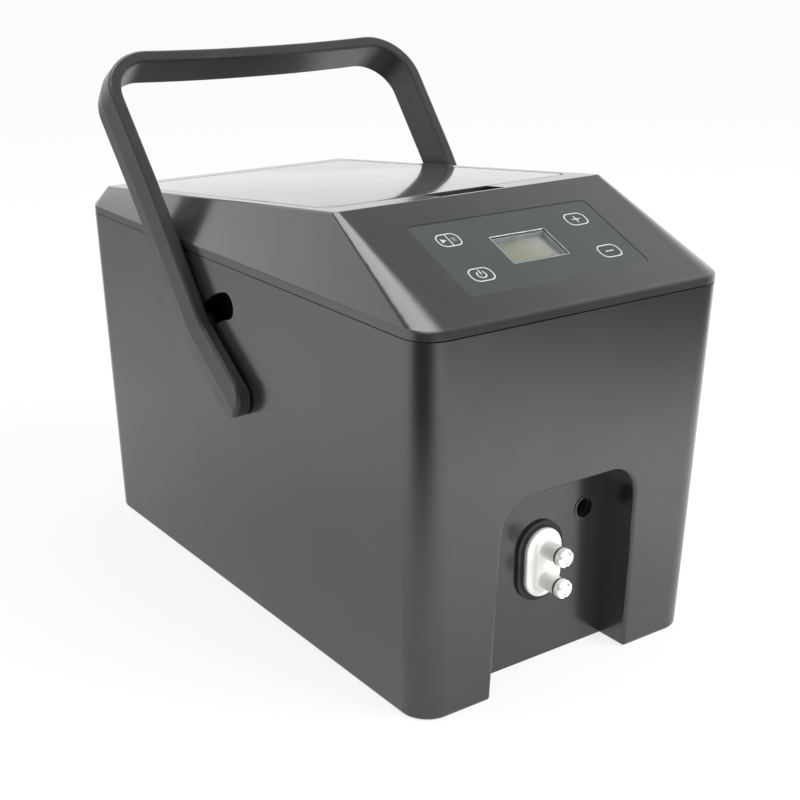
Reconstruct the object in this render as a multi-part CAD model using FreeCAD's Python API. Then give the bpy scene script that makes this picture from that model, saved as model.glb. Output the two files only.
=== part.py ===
"""Hot and cold therapy machine: an insulated ice-water tank with a pump, a key panel and a bail.

Own frame, millimetres: the origin is the middle of the footprint on the ground, +Z is up, the
control panel and the hose coupling face -Y, and +X is to the right seen from the front.
One STEP file per named piece is written to parts/.
"""
import FreeCAD, Part
import math
import os

from FreeCAD import Placement, Rotation, Vector

# ---------------------------------------------------------------- driving dimensions
# overall casing
BODY_W = 240.0            # width at the seam
BODY_D = 430.2            # depth at the seam
SEAM_Z = 242.0            # height of the joint between tub and housing
DRAFT = 0.0265            # mm of taper per mm of height on each side of the tub
BODY_CORNER_R = 19.0      # upright corners
WALL = 3.0                # tub and housing wall
FLOOR_T = 3.5             # tub floor
FOOT_EDGE_R = 2.0         # rounding round the tub's foot

# upper housing
RIM_H = 6.0               # upright band above the seam
FRONT_RISE = 47.3         # from the band to the front edge of the top face
REAR_RISE = 12.3          # from the band to the rear edge of the top face
FRONT_RUN = 105.1         # depth taken by the sloped control face
REAR_RUN = 9.3            # depth taken by the rear face
SIDE_INSET = 13.2         # each side's lean from the band to the top face
TOP_CORNER_R = 4.0        # plan corners of the top face
TOP_EDGE_R = 1.4          # rounding of the top face's edges
BAND_EDGE_R = 1.8         # rounding where the slopes meet the band
REVEAL_H = 0.8            # shadow groove at the seam
REVEAL_IN = 1.3
LIP_H = 8.0               # locating lip that drops inside the tub
LIP_T = 2.0
LIP_GAP = 0.25
SIDE_INSET_SHARE = 0.75   # how far the top face's sides move for each mm of wall
ROOF_DROP_SHARE = 0.65    # how far the foot of the inner slopes drops for each mm of wall

# rubber feet
FOOT_R = 9.0
FOOT_PROUD = 0.4
FOOT_SUNK = 1.4
FOOT_X = 88.0
FOOT_Y = 178.0

# corner posts and the screws that hold the housing down
POST_IN_X = 19.0          # post axis in from the seam's side
POST_IN_Y = 18.0
POST_R = 5.5
HOUSING_BOSS_R = 4.5      # bosses in the housing, on the posts' axes
POST_TOP_DROP = 7.5       # top of the post under the seam
SCREW_R = 1.95
SCREW_HOLE_R = 2.1
SCREW_HEAD_R = 3.5
SCREW_HEAD_H = 3.0
COUNTERBORE_R = 3.9
SCREW_GRIP = 10.0         # post left above the counterbore
SCREW_BITE = 12.0         # thread in the housing's boss
SCREW_PLAY = 0.05

# lid and its seat, along the top face
LID_HALF_W = 98.0
LID_FRONT_T = 22.0        # distance of the lid's front edge from the top face's front edge
LID_REAR_IN = 18.7        # lid's rear edge in from the top face's rear edge
LID_CORNER_R = 12.0
LID_PLATE_T = 3.2
LID_GAP = 0.9
LID_SEAT_DEPTH = 4.1
LID_LEDGE_W = 11.0
LID_LEDGE_T = 4.0
LINER_GAP = 1.4
LINER_WALL = 2.0
LINER_DEPTH = 24.0
SEAL_T = 0.6
SEAL_W = 6.0
SEAL_IN = 2.0             # seal set in from the lid plate's edge
SCOOP_HALF_W = 26.0       # finger scoop in front of the lid
SCOOP_FRONT_T = 2.0
SCOOP_DEPTH = 3.9
SCOOP_PAD_T = 7.0

# ice-water tank
TANK_WALL = 2.5
TANK_DRAFT = 0.02
TANK_FLOOR_Z = 18.0       # underside of the tank
TANK_FLANGE_T = 2.5
TANK_CORNER_R = 10.0
TANK_SIDE_EASE = 1.0      # tank wall set back under the lid's seat, sides and rear
TANK_FRONT_EASE = 3.5
TANK_SCREW_R = 1.5
TANK_SCREW_HEAD_R = 2.8
TANK_SCREW_HEAD_H = 1.6
TANK_SCREW_BITE = 3.0
TANK_SCREW_IN = 3.8       # screw axis in from the flange's edge
TANK_SCREW_ROWS = (0.1, 0.5, 0.9)
FOAM_T = 9.0
FOAM_TOP_Z = 228.0
FOAM_FLOOR_GAP = 0.3

# front recess for the hose coupling
RECESS_BACK_IN = 30.4     # depth of the recess from the seam's front plane
RECESS_TOP_Z = 133.0
RECESS_LEFT_TOP = -56.0
RECESS_LEFT_BOTTOM = -59.5
RECESS_RIGHT_TOP = 53.6
RECESS_RIGHT_BOTTOM = 54.2
RECESS_CORNER_R = 22.0
RECESS_EDGE_R = 2.2

# hose coupling
CPL_X = -2.8
CPL_Z = 71.0
NOZZLE_PITCH = 21.4
GASKET_W = 37.2
GASKET_REACH = 16.8       # above and below the nozzles' axes
GASKET_T = 1.6
GASKET_LIP = 0.5
GASKET_LIP_W = 0.9
PLATE_W = 29.2
PLATE_REACH = 12.8        # above and below the nozzles' axes
PLATE_PROUD = 6.9
PLATE_EDGE_R = 2.2
PLATE_SEAT_GAP = 0.2
SPIGOT_W = 24.0           # obround body that passes through the wall
SPIGOT_REACH = 9.8        # above and below the nozzles' axes
SPIGOT_BACK = 6.0         # behind the wall
BOSS_R = 8.4
BOSS_H = 2.4
NOZZLE_R = 5.9
NOZZLE_TIP_R = 6.2
NOZZLE_LEN = 19.4         # from the plate's face to the tip
TIP_L = 4.3
TIP_NOTCH_R = 1.3
TIP_NOTCHES = (40.0, -85.0, 160.0)
ORING_R = 6.4
ORING_WIRE_R = 0.8
ORING_GROOVE_W = 1.7
VALVE_BORE_R = 4.4
VALVE_SEAT_R = 2.6
VALVE_BORE_L = 14.0
POPPET_R = 4.2
POPPET_HEAD_L = 2.6
POPPET_STEM_R = 1.2
POPPET_STEM_L = 15.0
POPPET_TRAVEL = 3.0
POPPET_SUNK = 0.4
POPPET_NOTCH_R = 0.91
SPRING_COIL_R = 3.0
SPRING_WIRE_R = 0.35
SPRING_PITCH = 1.9
SPRING_SPARE = 0.4
BARB_R = 4.0
BARB_BORE_R = 2.6
BARB_L = 14.0
BARB_RIDGE = 0.5
BARB_RIDGES = 3
CLAMP_T = 3.0
CLAMP_MARGIN = 6.0
CLAMP_SCREW_R = 1.5
CLAMP_SCREW_L = 7.5
CLAMP_SCREW_EDGE = 1.2    # plastic left between the screw's hole and the spigot's edge
CLAMP_SCREW_HEAD = 1.6    # head's radius over the shank's

# power inlet
JACK_X = 35.0
JACK_Z = 97.5
JACK_BORE_R = 6.65
JACK_RIM_R = 8.2
JACK_SLEEVE_R = 7.5        # bezel's sleeve through the wall
JACK_RIM_T = 0.5
JACK_BODY_R = 9.0
JACK_CUP_R = 6.2
JACK_CUP_L = 8.0
JACK_SOCKET_R = 2.9
JACK_SOCKET_L = 9.0
JACK_PIN_R = 1.0
JACK_BACK_T = 2.0
JACK_NUT_R = 12.0
JACK_NUT_T = 3.0

# key panel, on the sloped face; distances run down the slope from its top edge
PANEL_HALF_W = 71.0
PANEL_X = 0.8             # middle of the film and of the keys, right of the machine's middle
PANEL_TOP_S = 23.4
PANEL_BOTTOM_S = 92.6
PANEL_CORNER_R = 4.5
PANEL_T = 0.8
PANEL_SUNK = 0.3
KEY_X = 50.7              # keys either side of the film's middle
KEY_UPPER_S = 40.7
KEY_LOWER_S = 75.2
KEY_W = 17.5
KEY_H = 13.0
KEY_END_R = 6.4
KEY_T = 1.3
KEY_GAP = 0.3
KEY_TRAVEL = 0.4
KEY_STEM_R = 2.5
KEY_STEM_GAP = 0.4
SWITCH_GAP = 0.7
SWITCH_W = 6.0
SWITCH_H = 3.5
SWITCH_BUTTON_R = 1.7
LCD_HALF_W = 22.1
LCD_TOP_S = 44.0
LCD_BOTTOM_S = 71.3
LCD_LEDGE = 1.6
LENS_T = 1.4
LENS_GAP = 0.15
LENS_CORNER_R = 0.85
MODULE_MARGIN = 6.0
MODULE_T = 5.6
MODULE_GAP = 0.2
MODULE_CORNER_R = 1.0
BOARD_HALF_W = 66.0
BOARD_MARGIN_S = 6.0
BOARD_T = 1.6
BOARD_CORNER_R = 2.0
BOARD_SCREW_R = 1.3
BOARD_SCREW_HEAD_R = 2.5
BOARD_SCREW_HEAD_H = 1.5
BOARD_SCREW_BITE = 4.0
BOARD_BOSS_R = 3.5
BOARD_BOSS_IN = 5.0

# carry handle: pivot, then leg, arm and grip, given at rest
PIVOT_Y = -11.5
PIVOT_Z = 157.1
LEG_LEAN = 53.5           # degrees from upright, towards the rear
LEG_L = 56.2
ARM_LEAN = 36.4
ARM_L = 106.4
NECK_LEAN = 39.5
NECK_L = 103.2            # from the bend to the grip's line
STRAP_W = 29.4            # strap width, along the direction of swing
STRAP_T = 9.2             # thickness at the strap's edges
STRAP_CROWN = 1.7         # ridge height on the outer side
STRAP_EDGE_R = 1.8
STRAP_FRONT_R = 2.6        # rounding of the outer front edge
STRAP_END_R = 4.0          # rounding round the outer face's end
STRAP_RIDGE_R = 0.8
KNEE_R = 60.0
BEND_R = 300.0
GRIP_CORNER_R = 36.0
GRIP_SAG_DEG = 3.2
HANDLE_GAP = 1.4          # between the strap and the tub's side
SWING_DEG = 40.8
PEG_LEAN = LEG_LEAN       # the pegs stand on the leg's line
PIN_R = 5.0
PIN_IN_ARM = 5.5
PIN_TAIL = 3.4
PIN_GROOVE = 0.9
BUSH_R = 7.5
BUSH_RUN_GAP = 0.05
BOSS_WALL = 4.5
BOSS_PROUD = 3.8
CLIP_T = 1.2
CLIP_R = 8.6
CLIP_GAP = 0.3
PEG_ORBIT_R = 59.0
PEG_R = 8.7
PEG_GAP = 0.55
PEG_SPIGOT_R = 4.0
PEG_SPIGOT_L = 4.0
PEG_REACH = 6.5

# pump, standing in front of the tank
PUMP_X = -58.0
PUMP_Z = 34.0
PUMP_FACE_IN = 30.0       # volute face in front of the tank foam
VOLUTE_R = 23.0
VOLUTE_L = 15.0
VOLUTE_WALL = 2.0
COVER_T = 2.5
IMPELLER_R = 16.0
IMPELLER_HUB_R = 5.0
IMPELLER_DISC_T = 1.6
IMPELLER_L = 9.0
VANES = 6
VANE_T = 1.4
MOTOR_R = 18.0
MOTOR_L = 34.0
SHAFT_R = 1.6
SHAFT_RUN_GAP = 0.05
SHAFT_FREE_L = 8.5        # motor can behind the shaft's end
RUN_GAP = 1.0
OUTLET_R = 5.0
OUTLET_L = 30.0
CRADLE_HALF_L = 9.0
PUMP_SCREW_R = 1.4
PUMP_SCREW_HEAD_R = 2.6
PUMP_SCREW_HEAD_H = 1.6
PUMP_SCREW_L = 6.0
PUMP_SCREWS = 4
PUMP_EAR_R = 3.6

# plumbing
HOSE_R = 5.6
HOSE_BORE_R = 4.0
FITTING_FLANGE_R = 10.0
FITTING_FLANGE_T = 2.5
FITTING_R = 5.0
OUTLET_Z = 34.0
RETURN_X = 46.0
RETURN_Z = 196.0
FITTING_REACH = 15.0
NUT_R = 10.0
NUT_T = 4.0
FILTER_R = 12.0
FILTER_L = 12.0
FILTER_WALL = 2.0
FILTER_GAP = 0.35
PROBE_X = 10.0
PROBE_Z = 60.0
PROBE_R = 3.0
PROBE_IN = 12.0
PORT_CLEAR = 1.0          # foam cut back round each port
CABLE_R = 2.0
CABLE_BEND_R = 18.0
CABLE_TAIL = 26.0
CABLE_IN_S = 12.0
POWER_CABLE_ASIDE = 13.0
POWER_CABLE_REACH = 18.0
POWER_CABLE_BEND_R = 10.0
SUPPLY_BEND_R = 14.0
SUPPLY_RISE = 24.0        # hose above the pump's tail before it turns
SUPPLY_REACH = 38.0       # hose behind the coupling before it turns
RETURN_BEND_R = 11.0
RETURN_RISE = 62.0
RETURN_REACH = 24.0
HOSE_END_GAP = 2.0        # hose end short of the shoulder it is pushed towards
HOSE_CLAMP_GAP = 1.5      # the same at the coupling's clamp plate
HOSE_BAND_IN = 4.0        # spring band in from the hose's end
HOSE_CLAMP_T = 1.0
HOSE_CLAMP_W = 5.0

# ---------------------------------------------------------------- derived places
X_AXIS = Vector(1, 0, 0)
Y_AXIS = Vector(0, 1, 0)
FAR = 600.0               # longer than anything on the machine

HALF_W = BODY_W / 2
HALF_D = BODY_D / 2
BASE_Z = FOOT_PROUD
BAND_Z = SEAM_Z + RIM_H
TOP_HALF_W = HALF_W - SIDE_INSET
TOP_FRONT_Y = -HALF_D + FRONT_RUN
TOP_REAR_Y = HALF_D - REAR_RUN
TOP_FRONT_Z = BAND_Z + FRONT_RISE
TOP_REAR_Z = BAND_Z + REAR_RISE
SLOPE_DEG = math.degrees(math.atan2(FRONT_RISE, FRONT_RUN))
TILT_DEG = math.degrees(math.atan2(TOP_FRONT_Z - TOP_REAR_Z, TOP_REAR_Y - TOP_FRONT_Y))
REAR_DEG = math.degrees(math.atan2(REAR_RISE, REAR_RUN))
DRAFT_DEG = math.degrees(math.atan(DRAFT))

TOP_LEN = math.hypot(TOP_REAR_Y - TOP_FRONT_Y, TOP_FRONT_Z - TOP_REAR_Z)
LID_REAR_T = round(TOP_LEN - LID_REAR_IN, 1)

TOP_FRAME = Placement(Vector(0, TOP_FRONT_Y, TOP_FRONT_Z), Rotation(X_AXIS, -TILT_DEG))
SLOPE_FRAME = Placement(Vector(0, TOP_FRONT_Y, TOP_FRONT_Z), Rotation(X_AXIS, SLOPE_DEG))

RECESS_Y = -HALF_D + RECESS_BACK_IN
RECESS_INNER_Y = RECESS_Y + WALL
SEAT_HALF_W = LID_HALF_W + LID_GAP
SEAT_T0 = LID_FRONT_T - LID_GAP
SEAT_T1 = LID_REAR_T + LID_GAP
MOUTH_HALF_W = SEAT_HALF_W - LID_LEDGE_W
MOUTH_T0 = SEAT_T0 + LID_LEDGE_W
MOUTH_T1 = SEAT_T1 - LID_LEDGE_W
MOUTH_R = LID_CORNER_R - 2
LEDGE_LOW = LID_SEAT_DEPTH + LID_LEDGE_T
GASKET_H = NOZZLE_PITCH + 2 * GASKET_REACH
PLATE_H = NOZZLE_PITCH + 2 * PLATE_REACH
SPIGOT_H = NOZZLE_PITCH + 2 * SPIGOT_REACH
POST_TOP_Z = SEAM_Z - POST_TOP_DROP
POST_X = HALF_W - POST_IN_X
POST_Y = HALF_D - POST_IN_Y


def half_w(z):
    """Half width of the drafted tub at a height."""
    return HALF_W - DRAFT * (SEAM_Z - z)


def half_d(z):
    """Half depth of the drafted tub at a height."""
    return HALF_D - DRAFT * (SEAM_Z - z)


# ---------------------------------------------------------------- helpers
def rounded_polygon(points, radii):
    """Closed wire through 3-D points, each corner rounded by its radius (0 keeps it sharp)."""
    count = len(points)
    starts, ends, arcs = [], [], []
    for i in range(count):
        corner = points[i]
        back = (points[i - 1] - corner).normalize()
        ahead = (points[(i + 1) % count] - corner).normalize()
        radius = radii[i]
        if radius <= 0:
            starts.append(corner)
            ends.append(corner)
            arcs.append(None)
            continue
        half = back.getAngle(ahead) / 2
        run = radius / math.tan(half)
        middle = (back + ahead).normalize() * (radius / math.sin(half))
        inner = corner + middle - middle.normalize() * radius
        starts.append(corner + back * run)
        ends.append(corner + ahead * run)
        arcs.append(inner)
    edges = []
    for i in range(count):
        if arcs[i] is not None:
            edges.append(Part.Arc(starts[i], arcs[i], ends[i]).toShape())
        nxt = (i + 1) % count
        if (starts[nxt] - ends[i]).Length > 1e-6:
            edges.append(Part.makeLine(ends[i], starts[nxt]))
    return Part.Wire(edges)


def rect_wire(x0, x1, y0, y1, radius, z):
    """Rounded rectangle in a level plane."""
    corners = [Vector(x0, y0, z), Vector(x1, y0, z), Vector(x1, y1, z), Vector(x0, y1, z)]
    return rounded_polygon(corners, [radius] * 4)


def slab(x0, x1, y0, y1, radius, z0, z1):
    """Rounded rectangular plate between two heights."""
    face = Part.Face(rect_wire(x0, x1, y0, y1, radius, z0))
    return face.extrude(Vector(0, 0, z1 - z0))


def block(x0, x1, y0, y1, z0, z1):
    """Plain box between two corners."""
    return Part.makeBox(x1 - x0, y1 - y0, z1 - z0, Vector(x0, y0, z0))


def rod(radius, start, end):
    """Round bar from one point to another."""
    return Part.makeCylinder(radius, (end - start).Length, start, end - start)


def ring(outer, inner, start, end):
    """Round sleeve from one point to another."""
    along = end - start
    return rod(outer, start, end).cut(rod(inner, start - along, end + along))


def obround(width, height, y0, y1, x=CPL_X, z=CPL_Z):
    """Upright slot-shaped plate in the front view, between two depths."""
    radius = width / 2 - 1e-3
    corners = [Vector(x - width / 2, y0, z - height / 2), Vector(x + width / 2, y0, z - height / 2),
               Vector(x + width / 2, y0, z + height / 2), Vector(x - width / 2, y0, z + height / 2)]
    return Part.Face(rounded_polygon(corners, [radius] * 4)).extrude(Vector(0, y1 - y0, 0))


def placed(shape, placement):
    """Copy of a shape moved from a face's own frame to the machine's."""
    moved = shape.copy()
    moved.Placement = placement.multiply(moved.Placement)
    return moved


def mirrored(shape):
    """The same piece on the other side of the machine."""
    return shape.mirror(Vector(0, 0, 0), X_AXIS)


def both_sides(shape):
    """A left-hand piece and its right-hand twin as two solids."""
    return Part.makeCompound([shape, mirrored(shape)])


def fuse_all(shapes):
    """One solid from several that meet."""
    whole = shapes[0]
    for other in shapes[1:]:
        whole = whole.fuse(other)
    return whole.removeSplitter()


def edges_where(shape, test):
    """The shape's edges whose every vertex passes a test."""
    return [e for e in shape.Edges if e.Vertexes and all(test(v.Point) for v in e.Vertexes)]


def tube_route(points, radius, outer, inner=0.0):
    """Tube along straight runs joined by tangent arcs of one radius."""
    pieces, bores = [], []
    here = points[0]
    for i in range(1, len(points)):
        corner = points[i]
        if i == len(points) - 1:
            pieces.append(rod(outer, here, corner))
            if inner:
                bores.append(rod(inner, here, corner))
            break
        back = (points[i - 1] - corner).normalize()
        ahead = (points[i + 1] - corner).normalize()
        half = back.getAngle(ahead) / 2
        run = radius / math.tan(half)
        start = corner + back * run
        stop = corner + ahead * run
        centre = corner + (back + ahead).normalize() * (radius / math.sin(half))
        axis = (start - centre).cross(stop - centre)
        sweep = 180 - math.degrees(2 * half)
        pieces.append(rod(outer, here, start))
        pieces.append(revolved_disc(start, back, outer, centre, axis, sweep))
        if inner:
            bores.append(rod(inner, here, start))
            bores.append(revolved_disc(start, back, inner, centre, axis, sweep))
        here = stop
    body = fuse_all(pieces)
    return body.cut(fuse_all(bores)) if inner else body


def revolved_disc(centre, normal, radius, pivot, axis, degrees):
    """A disc swept round an axis: the bend of a tube."""
    disc = Part.Face(Part.Wire(Part.makeCircle(radius, centre, normal)))
    return disc.revolve(pivot, axis, degrees)


def barbed_stem(start, end, radius, bore, ridges=BARB_RIDGES):
    """Hose tail: a stem with low ridges and a bore."""
    along = end - start
    length = along.Length
    step = length / (ridges + 1)
    direction = Vector(along).normalize()
    stem = rod(radius, start, end)
    for i in range(ridges):
        base = start + direction * (step * (i + 1))
        stem = stem.fuse(Part.makeCone(radius + BARB_RIDGE, radius, step * 0.6, base, direction))
    return stem.cut(rod(bore, start - direction, end + direction))


# ---------------------------------------------------------------- casing volumes
def tub_volume(inset, z0, z1):
    """Drafted block of the tub's plan, set in by a wall."""
    radius = BODY_CORNER_R - inset
    low = rect_wire(-half_w(z0) + inset, half_w(z0) - inset,
                    -half_d(z0) + inset, half_d(z0) - inset, radius, z0)
    high = rect_wire(-half_w(z1) + inset, half_w(z1) - inset,
                     -half_d(z1) + inset, half_d(z1) - inset, radius, z1)
    return Part.makeLoft([low, high], True, True)


def offset_corner(point, normal_a, normal_b, distance):
    """Corner of two faces after both move inwards by a distance, in a side view (y, z)."""
    shared = normal_a + normal_b
    return point + shared * (distance / (1 + normal_a.dot(normal_b)))


def roof_corners(inset):
    """Front and rear edges of the top face in the side view, set in by a wall."""
    slope = math.radians(SLOPE_DEG)
    tilt = math.radians(TILT_DEG)
    rear = math.radians(REAR_DEG)
    in_front = Vector(0, math.sin(slope), -math.cos(slope))
    in_top = Vector(0, -math.sin(tilt), -math.cos(tilt))
    in_rear = Vector(0, -math.sin(rear), -math.cos(rear))
    front = offset_corner(Vector(0, TOP_FRONT_Y, TOP_FRONT_Z), in_front, in_top, inset)
    back = offset_corner(Vector(0, TOP_REAR_Y, TOP_REAR_Z), in_top, in_rear, inset)
    return front, back


def roof_volume(inset):
    """The chamfered upper body above the band, set in by a wall."""
    front, back = roof_corners(inset)
    half = TOP_HALF_W - inset * SIDE_INSET_SHARE
    low_z = BAND_Z - inset * ROOF_DROP_SHARE
    low = rect_wire(-HALF_W + inset, HALF_W - inset, -HALF_D + inset, HALF_D - inset,
                    BODY_CORNER_R - inset, low_z)
    corners = [Vector(-half, front.y, front.z), Vector(half, front.y, front.z),
               Vector(half, back.y, back.z), Vector(-half, back.y, back.z)]
    high = rounded_polygon(corners, [TOP_CORNER_R - inset * SIDE_INSET_SHARE] * 4)
    return Part.makeLoft([low, high], True, True)


def recess_wire(grow, y):
    """Outline of the front recess, open at the ground, grown by a wall."""
    low, high = -FOOT_SUNK, RECESS_TOP_Z + grow
    corners = [Vector(RECESS_LEFT_BOTTOM - grow, y, low), Vector(RECESS_LEFT_TOP - grow, y, high),
               Vector(RECESS_RIGHT_TOP + grow, y, high), Vector(RECESS_RIGHT_BOTTOM + grow, y, low)]
    radius = RECESS_CORNER_R + grow
    return rounded_polygon(corners, [0, radius, radius, 0])


def recess_volume(grow, back_y):
    """The recess as a block from well in front of the tub to a depth."""
    front_y = -HALF_D - WALL
    return Part.Face(recess_wire(grow, front_y)).extrude(Vector(0, back_y - front_y, 0))


def swing_point(radius, lean):
    """Point on the machine's side at a radius from the handle's pivot, leaning to the rear."""
    angle = math.radians(lean)
    return Vector(0, PIVOT_Y + radius * math.sin(angle), PIVOT_Z + radius * math.cos(angle))


def slot_tool():
    """Arc slot in both sides that the handle's stop pegs travel in."""
    half = PEG_R + PEG_GAP
    outer, inner = PEG_ORBIT_R + half, PEG_ORBIT_R - half
    front, rear = PEG_LEAN - SWING_DEG, PEG_LEAN
    middle = (front + rear) / 2
    front_end = swing_point(PEG_ORBIT_R, front)
    rear_end = swing_point(PEG_ORBIT_R, rear)
    ahead = Vector(0, -math.cos(math.radians(front)), math.sin(math.radians(front)))
    behind = Vector(0, math.cos(math.radians(rear)), -math.sin(math.radians(rear)))
    edges = [Part.Arc(swing_point(outer, front), swing_point(outer, middle), swing_point(outer, rear)),
             Part.Arc(swing_point(outer, rear), rear_end + behind * half, swing_point(inner, rear)),
             Part.Arc(swing_point(inner, rear), swing_point(inner, middle), swing_point(inner, front)),
             Part.Arc(swing_point(inner, front), front_end + ahead * half, swing_point(outer, front))]
    wire = Part.Wire([e.toShape() for e in edges])
    wire.translate(Vector(-FAR / 2, 0, 0))
    return Part.Face(wire).extrude(Vector(FAR, 0, 0))


# ---------------------------------------------------------------- tub and what is on it
def post_spots():
    """Plan places of the four corner posts."""
    return [(sx * POST_X, sy * POST_Y) for sx in (-1, 1) for sy in (-1, 1)]


def foot_spots():
    """Plan places of the four rubber feet."""
    return [(sx * FOOT_X, sy * FOOT_Y) for sx in (-1, 1) for sy in (-1, 1)]


def at_recess_mouth(point):
    """Whether a point lies on the recess's opening edge in the front face, above the foot rounding."""
    in_front_face = abs(point.y + half_d(point.z)) < 1e-3
    across = RECESS_LEFT_BOTTOM - 1 < point.x < RECESS_RIGHT_BOTTOM + 1
    return in_front_face and across and point.z < RECESS_TOP_Z + 1


def tub_form():
    """Full block of the tub with the recess cut in its front and its outer edges rounded."""
    form = tub_volume(0, BASE_Z, SEAM_Z).cut(recess_volume(0, RECESS_Y))
    form = form.makeFillet(RECESS_EDGE_R, edges_where(form, at_recess_mouth))
    return form.makeFillet(FOOT_EDGE_R, edges_where(form, at_foot_rim))


def at_foot_rim(point):
    """Whether a point lies on the outer rim of the underside, away from the recess."""
    on_rim = abs(point.z - BASE_Z) < 1e-6
    beside = point.x < RECESS_LEFT_BOTTOM - 2 * WALL or point.x > RECESS_RIGHT_BOTTOM + 2 * WALL
    return on_rim and beside


def outer_tub():
    """Drafted tub with the front recess, corner posts, pivot bosses and peg slots."""
    shell = tub_form()
    hollow = tub_volume(WALL, BASE_Z + FLOOR_T, SEAM_Z + WALL).cut(recess_volume(WALL, RECESS_INNER_Y))
    shell = shell.cut(hollow)
    for x, y in post_spots():
        shell = shell.fuse(rod(POST_R, Vector(x, y, BASE_Z + FLOOR_T / 2), Vector(x, y, POST_TOP_Z)))
    for side in (-1, 1):
        inner_face = half_w(PIVOT_Z) - WALL - BOSS_PROUD
        boss = rod(BUSH_R + BOSS_WALL, Vector(side * inner_face, PIVOT_Y, PIVOT_Z),
                   Vector(side * (half_w(PIVOT_Z) - WALL / 2), PIVOT_Y, PIVOT_Z))
        shell = shell.fuse(boss)
    shell = shell.fuse(pump_cradle())
    shell = shell.cut(slot_tool())
    shell = shell.cut(rod(BUSH_R, Vector(-FAR / 2, PIVOT_Y, PIVOT_Z), Vector(FAR / 2, PIVOT_Y, PIVOT_Z)))
    for x, y in post_spots():
        shell = shell.cut(rod(COUNTERBORE_R, Vector(x, y, -WALL), Vector(x, y, POST_TOP_Z - SCREW_GRIP)))
        shell = shell.cut(rod(SCREW_HOLE_R, Vector(x, y, -WALL), Vector(x, y, SEAM_Z)))
    for x, y in foot_spots():
        shell = shell.cut(rod(FOOT_R, Vector(x, y, -WALL), Vector(x, y, BASE_Z + FOOT_SUNK)))
    shell = shell.cut(obround(SPIGOT_W + 2 * PLATE_SEAT_GAP, SPIGOT_H + 2 * PLATE_SEAT_GAP,
                              RECESS_Y - WALL, RECESS_INNER_Y + WALL))
    shell = shell.cut(rod(JACK_SLEEVE_R + SCREW_PLAY, Vector(JACK_X, RECESS_Y - WALL, JACK_Z),
                          Vector(JACK_X, RECESS_INNER_Y + WALL, JACK_Z)))
    return shell.removeSplitter()


def rubber_feet():
    """Four round pads sunk in the tub's underside."""
    return Part.makeCompound([rod(FOOT_R, Vector(x, y, 0), Vector(x, y, BASE_Z + FOOT_SUNK))
                              for x, y in foot_spots()])


def housing_screws():
    """Four screws up the corner posts into the housing's bosses."""
    screws = []
    seat = POST_TOP_Z - SCREW_GRIP
    for x, y in post_spots():
        head = rod(SCREW_HEAD_R, Vector(x, y, seat - SCREW_HEAD_H), Vector(x, y, seat))
        shank = rod(SCREW_R, Vector(x, y, seat), Vector(x, y, POST_TOP_Z + SCREW_BITE))
        screws.append(head.fuse(shank).removeSplitter())
    return Part.makeCompound(screws)


# ---------------------------------------------------------------- upper housing
def top_plate(half_width, t0, t1, radius, z0, z1):
    """Rounded plate laid in the top face's own frame."""
    return placed(slab(-half_width, half_width, t0, t1, radius, z0, z1), TOP_FRAME)


def scoop_tool():
    """Wedge cut in front of the lid that fingers reach into."""
    rear = SEAT_T0 + LID_GAP / 2
    profile = [(SCOOP_FRONT_T, 0), (rear, -SCOOP_DEPTH), (rear, WALL), (SCOOP_FRONT_T, WALL)]
    face = Part.Face(rounded_polygon([Vector(-SCOOP_HALF_W, t, h) for t, h in profile], [0] * len(profile)))
    return placed(face.extrude(Vector(2 * SCOOP_HALF_W, 0, 0)), TOP_FRAME)


def panel_bosses(grow_r, low, high):
    """Four posts under the slope that the control board is screwed to."""
    posts = []
    for side in (-1, 1):
        for s in (board_top_s() + BOARD_BOSS_IN, board_bottom_s() - BOARD_BOSS_IN):
            x = side * (BOARD_HALF_W - BOARD_BOSS_IN)
            posts.append(rod(grow_r, Vector(x, -s, low), Vector(x, -s, high)))
    return posts


def board_top_s():
    """Upper edge of the control board down the slope."""
    return PANEL_TOP_S + BOARD_MARGIN_S


def board_bottom_s():
    """Lower edge of the control board down the slope."""
    return PANEL_BOTTOM_S - BOARD_MARGIN_S


def board_top_depth():
    """Depth of the control board's upper face under the slope."""
    return WALL + MODULE_GAP + MODULE_T + MODULE_GAP


def key_outline(x, s, grow, z0, z1):
    """Pill-shaped block round a key's place, in the slope's frame."""
    half_wide, half_high = KEY_W / 2 + grow, KEY_H / 2 + grow
    return slab(x - half_wide, x + half_wide, -s - half_high, -s + half_high, KEY_END_R + grow, z0, z1)


def film_plate(grow, z0, z1):
    """Plate of the film's outline, grown by a gap, in the slope's frame."""
    half = PANEL_HALF_W + grow
    return slab(PANEL_X - half, PANEL_X + half, -PANEL_BOTTOM_S - grow, -PANEL_TOP_S + grow,
                PANEL_CORNER_R + grow, z0, z1)


def lens_plate(grow, z0, z1):
    """Plate of the display window's outline, grown by a gap, in the slope's frame."""
    half = LCD_HALF_W + grow
    return slab(-half, half, -LCD_BOTTOM_S - grow, -LCD_TOP_S + grow, LENS_CORNER_R + grow, z0, z1)


def key_spots():
    """Places of the four keys on the slope."""
    left, right = PANEL_X - KEY_X, PANEL_X + KEY_X
    return {"key_play": (left, KEY_UPPER_S), "key_power": (left, KEY_LOWER_S),
            "key_plus": (right, KEY_UPPER_S), "key_minus": (right, KEY_LOWER_S)}


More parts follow.
